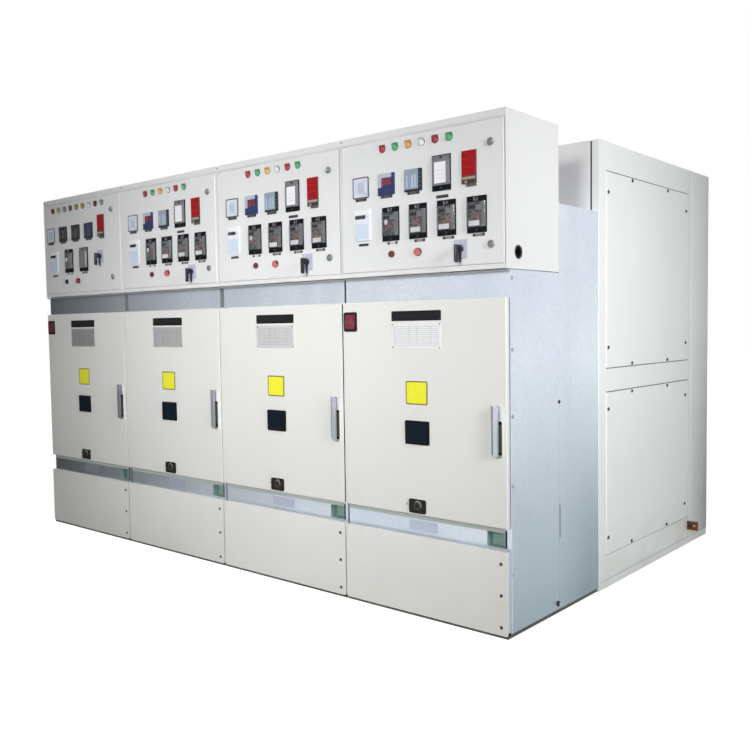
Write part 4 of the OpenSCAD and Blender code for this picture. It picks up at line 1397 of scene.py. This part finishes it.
def makeEnclosureFittings():
    # bolts and edge shadows of the end covers, rear covers and roof plates
    bolts, gaps, look = newPiece(), newPiece(), coverLook
    inward, outward = look["gapLayer"]
    for low, high in solidsOf("end_covers"):
        side = endSide((low, high))
        x, base = endX((low, high), side), endX((low, high), -side)
        for across, up in coverSpots(high.y - low.y, high.z - low.z, look["rearIn"]):
            addBolt(bolts, facing((x, low.y + across, low.z + up), (side, 0, 0)), look["bolt"], "darkBolt")
        near, far = layer(base, side, inward, outward)
        for z0, z1 in ((high.z, high.z + look["line"]), (low.z - look["line"], low.z)):
            finish = "gapGrey" if max(z0, low.z) < 0.5 else "coilGrey"
            addPart(gaps, cubePart((near, low.y, z0), (far, high.y, z1)), finish)
    for low, high in solidsOf("rear_covers"):
        for across, up in coverSpots(high.x - low.x, high.z - low.z, look["sideIn"]):
            spot = facing((low.x + across, high.y, low.z + up), (0, 1, 0))
            addScrew(bolts, spot, look["bolt"], look["thin"], "darkBolt")
        for z in (low.z, high.z):
            edge = cubePart((low.x, low.y - inward, z - look["rearLine"]),
                            (high.x, low.y + outward, z + look["rearLine"]))
            addPart(gaps, edge, "rubber")
    for low, high in solidsOf("roof_plates"):
        for across, up in coverSpots(high.x - low.x, high.y - low.y, look["sideIn"]):
            spot = facing((low.x + across, low.y + up, high.z), (0, 0, 1))
            addScrew(bolts, spot, look["bolt"], look["thin"], "darkBolt")
    finishPiece(bolts, "enclosure_bolts", "switchboard")
    finishPiece(gaps, "cover_edges", "switchboard")


seamLook = {
    "out": 0.0005, "jointIn": (0.032, 0.042),
    "joint": (cubePart, "rubber", (0.0003, 0.004, 0.01), (-0.0003, 0.012, -0.003)),
    "footLayer": (0.0002, 0.0006), "foot": (cubePart, "greyMould", (0.0, 0.01, 0.0395), (0.0, -0.01, 0.0410)),
}


def makeEnclosureSeams():
    # rubber in the open joint beside each corner post, and the foot flange's line
    seams, look = newPiece(), seamLook
    low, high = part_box("rear_enclosure")
    for side in (-1, 1):
        edge = endX((low, high), side) + side * look["out"]
        inner, outer = sorted(edge - side * aside for aside in look["jointIn"])
        addBetween(seams, (inner, low.y, low.z), (outer, low.y, high.z), look["joint"])
    for wall in solidsOf("end_walls"):
        near, far = layer(endX(wall, endSide(wall)), endSide(wall), *look["footLayer"])
        addBetween(seams, (near, wall[0].y, 0.0), (far, wall[1].y, 0.0), look["foot"])
    finishPiece(seams, "enclosure_seams", "switchboard")


chamberLook = {"sheet": (boxPart, "chamberPaint", (0.043, -0.0006, 0.001), (-0.043, 0.0003, -0.003), 0.0002)}


def makeChamberFront():
    # sheet on the enclosure's front above the cubicles, between the open joints, a little darker and greyer
    # than the enclosure as painted shade
    front = newPiece()
    low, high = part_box("rear_enclosure")
    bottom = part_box("cubicle_1")[1].z
    addBetween(front, (low.x, low.y, bottom), (high.x, low.y, high.z), chamberLook["sheet"])
    finishPiece(front, "chamber_front", "switchboard")


postLook = {
    "wide": 0.298,
    "sheet": (boxPart, "postPaint", (0.0, 0.0, 0.0412), (0.0, -0.0005, -0.0005), 0.0008),
    "line": (cubePart, "gapGrey", (0.0, -0.004, 0.0412), (0.0, 0.0005, -0.0005)),
    "sheetLayer": (0.0002, 0.0016), "lineLayer": (0.0002, 0.0004),
}


def makeCornerPosts():
    # sheet of each rear corner post lapping over the end wall, with a soft grey line along its edge as the
    # painted shadow of its step
    posts, look = newPiece(), postLook
    for low, high in solidsOf("end_walls"):
        side = endSide((low, high))
        x, start = endX((low, high), side), high.y - look["wide"]
        near, far = layer(x, side, *look["sheetLayer"])
        addBetween(posts, (near, start, 0.0), (far, high.y, high.z), look["sheet"])
        near, far = layer(x, side, *look["lineLayer"])
        addBetween(posts, (near, start, 0.0), (far, start, high.z), look["line"])
    finishPiece(posts, "corner_posts", "switchboard")


lowerLook = {"boltIn": 0.032, "bolt": 0.0048, "head": 0.003, "heights": (0.312, 0.180, 0.046)}


def makeLowerBolts():
    # three dark bolts down the right edge of each lower cover
    bolts, look = newPiece(), lowerLook
    for bay in bays:
        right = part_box(f"breaker_door_{bay}")[1].x
        for z in look["heights"]:
            addBolt(bolts, onFront(right - look["boltIn"], z), look["bolt"], "darkBolt", look["head"])
    finishPiece(bolts, "lower_cover_bolts", "switchboard")


toeLook = {
    "coverHigh": 0.2,   # the tall covers reach the floor
    "strip": (boxPart, "basePaint", (0.002, 0.004, 0.0002), (-0.002, 0.0308, 0.0105), 0.001),
}


def makeToeStrips():
    # dark strip under each of the tall lower covers
    toes = newPiece()
    for low, high in solidsOf("lower_covers"):
        if high.z - low.z > toeLook["coverHigh"]:
            addBetween(toes, (low.x, frontY, floorZ), (high.x, frontY, floorZ), toeLook["strip"])
    finishPiece(toes, "toe_strips", "switchboard")


stripLook = {
    "label": ((0.368, -0.0006, 0.382), (0.528, 0.0, 0.429)),   # from the cubicle's lower left corner
    "band": (platePart, "sealBand", (0.001, -0.0006, -0.024), (-0.028, 0.0, -0.0005), 0.002),
    "liner": (framePart, "linerTeal", (-0.1178, 0.0003, 0.0082), (-0.0302, 0.0448, -0.0102), 0.0008, 0.042),
    "slot": (cubePart, "rubber", (-0.029, -0.0005, 0.0082), (-0.020, 0.0, -0.0102)),
}


def makeStripFittings():
    # blank label on each lower strip, a grey band below each breaker door as its painted shadow, and the open
    # corner's lining in teal-grey as painted shade
    pieces, look = newPiece(), stripLook
    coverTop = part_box("lower_covers")[1].z
    for bay in bays:
        low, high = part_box(f"cubicle_{bay}")
        doorLow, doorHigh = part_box(f"breaker_door_{bay}")
        foot = (low.x, stripY, 0.0)
        addBetween(pieces, foot, foot, (platePart, f"stripLabel{bay}", *look["label"], 0.004))
        addBetween(pieces, (doorLow.x, stripY, doorLow.z), (doorHigh.x, stripY, doorLow.z), look["band"])
        # the lining's teal-grey is painted shade in the pocket
        for block in (look["liner"], look["slot"]):
            addBetween(pieces, (high.x, stripY, coverTop), (high.x, stripY, doorLow.z), block)
    finishPiece(pieces, "strip_labels", "switchboard")


gapLook = {
    "gap": 0.006, "clear": 0.0005, "touch": 0.0001, "bevel": 0.0006,
    "front": 0.0016, "back": 0.0070, "sheet": 0.003, "sheetFront": 0.0029,
    "foot": (boxPart, "footGrey", (0.001, 0.003, -0.007), (-0.001, 0.0245, -0.0002), 0.001),
}


def makeGapSeals():
    # lip seals in the gaps round each instrument door, grey on the right of bays 3 and 4 as painted shade in
    # those gaps, and a grey strip along the box's underside as painted shade
    seals, look = newPiece(), gapLook
    gap, clear, touch = look["gap"], look["clear"], look["touch"]
    front, back = frontY + look["front"], frontY + look["back"]
    for bay in bays:
        boxLow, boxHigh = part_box(f"instrument_box_{bay}")
        low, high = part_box(f"instrument_door_{bay}")
        left, right, reach = low.x - gap + touch, high.x + gap - touch, (low.z - clear, high.z + clear)
        # grey right-hand lips and joint strip are painted shade in the gaps
        tone = "gapGrey" if bay > 2 else "boxPaint"
        for x0, x1, z0, z1, finish in ((left, right, low.z - gap + touch, reach[0], "boxPaint"),
                                       (left, right, reach[1], high.z + gap - touch, "boxPaint"),
                                       (left, low.x - clear, *reach, "boxPaint"),
                                       (high.x + clear, right, *reach, tone)):
            addPart(seals, boxPart((x0, front, z0), (x1, back, z1), look["bevel"]), finish)
        for x, side, inner in ((boxLow.x, 1, bay > 1), (boxHigh.x, -1, bay < bays[-1])):
            if inner:
                x0, x1 = layer(x, side, -touch, look["sheet"] - touch)
                strip = cubePart((x0, front, low.z - gap), (x1, frontY + look["sheetFront"], high.z + gap))
                addPart(seals, strip, tone if side < 0 else "boxPaint")
        addBetween(seals, (boxLow.x, frontY, boxLow.z), (boxHigh.x, frontY, boxLow.z), look["foot"])
    finishPiece(seals, "box_seals", "switchboard")


jointLook = {"strip": (boxPart, "greyMould", (-0.015, -0.0006, 0.004), (0.015, 0.0, -0.0075), 0.0002)}


def makeJointCovers():
    # grey cover over the joint between the first three cubicles, above their breaker doors
    covers = newPiece()
    for bay in bays[1:3]:
        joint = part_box(f"cubicle_{bay}")[0].x
        low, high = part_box(f"breaker_door_{bay}")[1].z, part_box(f"instrument_box_{bay}")[0].z
        addBetween(covers, (joint, stripY, low), (joint, stripY, high), jointLook["strip"])
    finishPiece(covers, "joint_covers", "switchboard")


sealLook = {
    "sideIn": 0.034, "upIn": 0.004, "wide": 0.009, "back": 0.0252, "front": 0.0212, "bevel": 0.0012,
    "edge": (boxPart, "rubber", (0.0, 0.0022, 0.004), (0.0012, 0.022, -0.004), 0.0004),
}


def makeDoorGapShade():
    # dark strip along the third breaker door's free edge, painted shade in the gap beside it
    seal = newPiece()
    low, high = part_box("breaker_door_3")
    addBetween(seal, (high.x, frontY, low.z), (high.x, frontY, high.z), sealLook["edge"])
    finishPiece(seal, "door_gap_shade_3", "breaker_door_3")


def makeSeals():
    # rubber seal round each breaker opening, pressed by the closed door
    seals, look = newPiece(), sealLook
    wide, aside, up = look["wide"], look["sideIn"], look["upIn"]
    for bay in bays:
        cubicle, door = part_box(f"cubicle_{bay}"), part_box(f"breaker_door_{bay}")
        left, right = cubicle[0].x + aside, cubicle[1].x - aside
        low, high = door[0].z + up, door[1].z - up
        for x0, z0, x1, z1 in ((left, low, left + wide, high), (right - wide, low, right, high),
                               (left + wide, low, right - wide, low + wide),
                               (left + wide, high - wide, right - wide, high)):
            bar = boxPart((x0, frontY + look["front"], z0), (x1, frontY + look["back"], z1), look["bevel"])
            addPart(seals, bar, "rubber")
    finishPiece(seals, "door_seals", "switchboard")


railLook = {
    "dotIn": 0.013, "dotDown": 0.012, "dot": (0.004, 0.0016),
    "entryIn": 0.004, "entryBack": 0.090, "entryUp": 0.073,   # cable entry's middle
    "grommet": ((0.0205, 0.0), (0.0245, 0.0), (0.0245, 0.0042), (0.0285, 0.0044), (0.0285, 0.0062),
                (0.0225, 0.0070), (0.0205, 0.0058), (0.0205, 0.0)),
}


def makeBoxFittings():
    # grommet in each cable entry and a small screw in each top rail
    fittings, look = newPiece(), railLook
    for side, bay in endBays:
        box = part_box(f"instrument_box_{bay}")
        x, y = endX(box, side) - side * look["entryIn"], frontY + look["entryBack"]
        centre = (x, y, box[0].z + look["entryUp"])
        addPart(fittings, turnedPart(look["grommet"], 40), "rubber", facing(centre, (side, 0, 0)))
    for bay in bays:
        low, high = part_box(f"instrument_box_{bay}")
        addScrew(fittings, onFront(low.x + look["dotIn"], high.z - look["dotDown"]), *look["dot"], "darkBolt")
    finishPiece(fittings, "box_fittings", "switchboard")


earthLook = {"boltIn": 0.016, "bolt": 0.0085}


def makeEarthBolts():
    # bolt head and nut beside the hole of each earth bar end
    earth = newPiece()
    for low, high in solidsOf("earth_bar"):
        side = endSide((low, high))
        x, z = endX((low, high), -side) + side * earthLook["boltIn"], (low.z + high.z) / 2
        for y, outward in ((low.y, -1), (high.y, 1)):
            addBolt(earth, facing((x, y, z), (0, outward, 0)), earthLook["bolt"], "darkBolt")
    finishPiece(earth, "earth_bolts", "switchboard")


for side, bay in endBays:
    makeEndFittings(side, bay)
for make in (makeEnclosureFittings, makeEnclosureSeams, makeChamberFront, makeCornerPosts, makeLowerBolts,
             makeToeStrips, makeStripFittings, makeGapSeals, makeJointCovers, makeDoorGapShade, makeSeals,
             makeBoxFittings, makeEarthBolts):
    make()
print("housing fittings made")


nodeFinishes = {   # by the CAD node's name without its bay number
    "base_rails": "basePaint", "base_ties": "basePaint", "lower_covers": "coverPaint",
    "cubicle": "galvanised", "instrument_box": "boxPaint", "instrument_door": "boxPaint",
    "breaker_door": "doorPaint", "rear_enclosure": "enclosurePaint", "end_walls": "enclosurePaint",
    "end_covers": "enclosurePaint", "rear_covers": "enclosurePaint", "roof_plates": "enclosurePaint",
    "earth_bar": "copper",
}
for name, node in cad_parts.items():
    family = name.rstrip("_1234")
    if family in nodeFinishes:
        node.data.materials.clear()
        node.data.materials.append(finishes[nodeFinishes[family]])
print("nodes finished")


cameraLook = {
    "place": (3.6274, -4.1024, 1.2975),
    "turn": 40.48, "dip": 3.2, "roll": -0.84,   # degrees: left of straight at the doors, down, about the lens
    "lens": 40.99,
}


def makeCamera():
    turn, dip, roll = (math.radians(cameraLook[key]) for key in ("turn", "dip", "roll"))
    ahead = Vector((-math.sin(turn) * math.cos(dip), math.cos(turn) * math.cos(dip), -math.sin(dip)))
    right = Vector((math.cos(turn), math.sin(turn), 0.0))
    up = right.cross(ahead)
    across = right * math.cos(roll) + up * math.sin(roll)
    upright = up * math.cos(roll) - right * math.sin(roll)
    camera = bpy.data.objects.new("camera", bpy.data.cameras.new("camera"))
    camera.data.lens = cameraLook["lens"]
    camera.data.clip_end = 200.0
    axes = Matrix((across, upright, -ahead)).transposed().to_4x4()
    camera.matrix_world = Matrix.Translation(cameraLook["place"]) @ axes
    scene.collection.objects.link(camera)
    scene.camera = camera


def addLamp(name, spot, target, power, spreadAngle):
    lamp = bpy.data.objects.new(name, bpy.data.lights.new(name, "AREA"))
    lamp.data.size = studioLook["lampSize"]
    lamp.data.energy = power
    aim = (Vector(target) - Vector(spot)).to_track_quat("-Z", "Y")
    lamp.matrix_world = Matrix.Translation(spot) @ aim.to_matrix().to_4x4()
    lamp.data.spread = math.radians(spreadAngle)
    scene.collection.objects.link(lamp)


def seenDirectly(tree):
    # 1 for rays from the lens, mirrors and glass, 0 for the light that falls on the object
    path = addNode(tree, "LightPath")
    mirror = times(tree, path.outputs["Is Glossy Ray"], path.outputs["Is Transmission Ray"], "MAXIMUM")
    return times(tree, path.outputs["Is Camera Ray"], mirror, "MAXIMUM")


studioLook = {
    "sky": 0.15,
    "dimSide": 0.04,       # what mirrors see far along the left of the room
    "dimSky": (-0.87, -0.67), "dimFloor": (-0.92, -0.5),
    "floorGlow": 0.86, "floorTone": 0.5, "floorBounce": 0.75,
    "glowFrom": 2.2, "glowTo": 5.0,   # the floor fades to white between these distances
    "lampSize": 1.5,
    "lamps": {   # place, target, watts and spread in degrees
        "front": ((3.4, -8.5, 3.6), (1.45, -1.1, 1.12), 13.2, 32),
        "left": ((2.4, -8.5, 3.6), (-0.35, -1.1, 1.5), 13.4, 29),
        "side": ((9.0, -3.0, 3.6), (1.8, -0.5, 1.6), 23.0, 34),
        "rear": ((-2.5, 9.5, 5.0), (-0.2, 1.1, 1.4), 20.0, 34),
        "leftEnd": ((-9.5, 2.2, 4.0), (-1.8, 0.4, 1.4), 15.0, 26),
    },
}


def makeStudio():
    world = bpy.data.worlds.new("studio")
    world.use_nodes = True
    tree = world.node_tree
    background = tree.nodes["Background"]
    background.inputs["Color"].default_value = (1, 1, 1, 1)
    path = addNode(tree, "LightPath")
    mirrored = spread(tree, alongAxis(tree, "x"), *studioLook["dimSky"], studioLook["dimSide"], 1.0)
    strength = addNode(tree, "Mix", {0: path.outputs["Is Glossy Ray"], 2: studioLook["sky"], 3: mirrored})
    clear = times(tree, path.outputs["Is Camera Ray"], path.outputs["Is Transmission Ray"], "MAXIMUM")
    strength = addNode(tree, "Mix", {0: clear, 2: strength.outputs[0], 3: 1.0})
    tree.links.new(strength.outputs[0], background.inputs["Strength"])
    scene.world = world

    bpy.ops.mesh.primitive_plane_add(size=60.0, location=(0, 0, floorZ - 0.001))
    floor = bpy.context.object
    floor.name = "studio_floor"
    material = bpy.data.materials.new("studioFloor")
    material.use_nodes = True
    tree = material.node_tree
    tree.nodes.remove(tree.nodes["Principled BSDF"])
    tone, bounce = ([studioLook[key]] * 3 + [1.0] for key in ("floorTone", "floorBounce"))
    distance = addNode(tree, "VectorMath", {0: place(tree)}, operation="LENGTH").outputs["Value"]
    fade = spread(tree, distance, studioLook["glowFrom"], studioLook["glowTo"], studioLook["floorGlow"], 1.0)
    doors = (0, frontY, 0)
    fromDoors = addNode(tree, "VectorMath", {0: place(tree), 1: doors}, operation="SUBTRACT").outputs[0]
    bearing = addNode(tree, "VectorMath", {0: fromDoors}, operation="NORMALIZE").outputs[0]
    across = addNode(tree, "SeparateXYZ", {0: bearing}).outputs[0]
    mirrored = times(tree, fade, spread(tree, across, *studioLook["dimFloor"], studioLook["dimSide"], 1.0))
    glossy = addNode(tree, "LightPath").outputs["Is Glossy Ray"]
    fade = addNode(tree, "Mix", {0: glossy, 2: fade, 3: mirrored}).outputs[0]
    glow = addNode(tree, "Emission", {"Color": (1, 1, 1, 1), "Strength": fade}).outputs[0]
    shown = addNode(tree, "AddShader", {0: glow, 1: addNode(tree, "BsdfDiffuse", {"Color": tone}).outputs[0]})
    lit = addNode(tree, "BsdfDiffuse", {"Color": bounce}).outputs[0]
    mix = addNode(tree, "MixShader", {0: seenDirectly(tree), 1: lit, 2: shown.outputs[0]})
    tree.links.new(mix.outputs[0], tree.nodes["Material Output"].inputs["Surface"])
    floor.data.materials.append(material)

    for name, lamp in studioLook["lamps"].items():
        addLamp(name, *lamp)


makeCamera()
makeStudio()
scene.view_settings.view_transform = "Standard"
print("studio made")
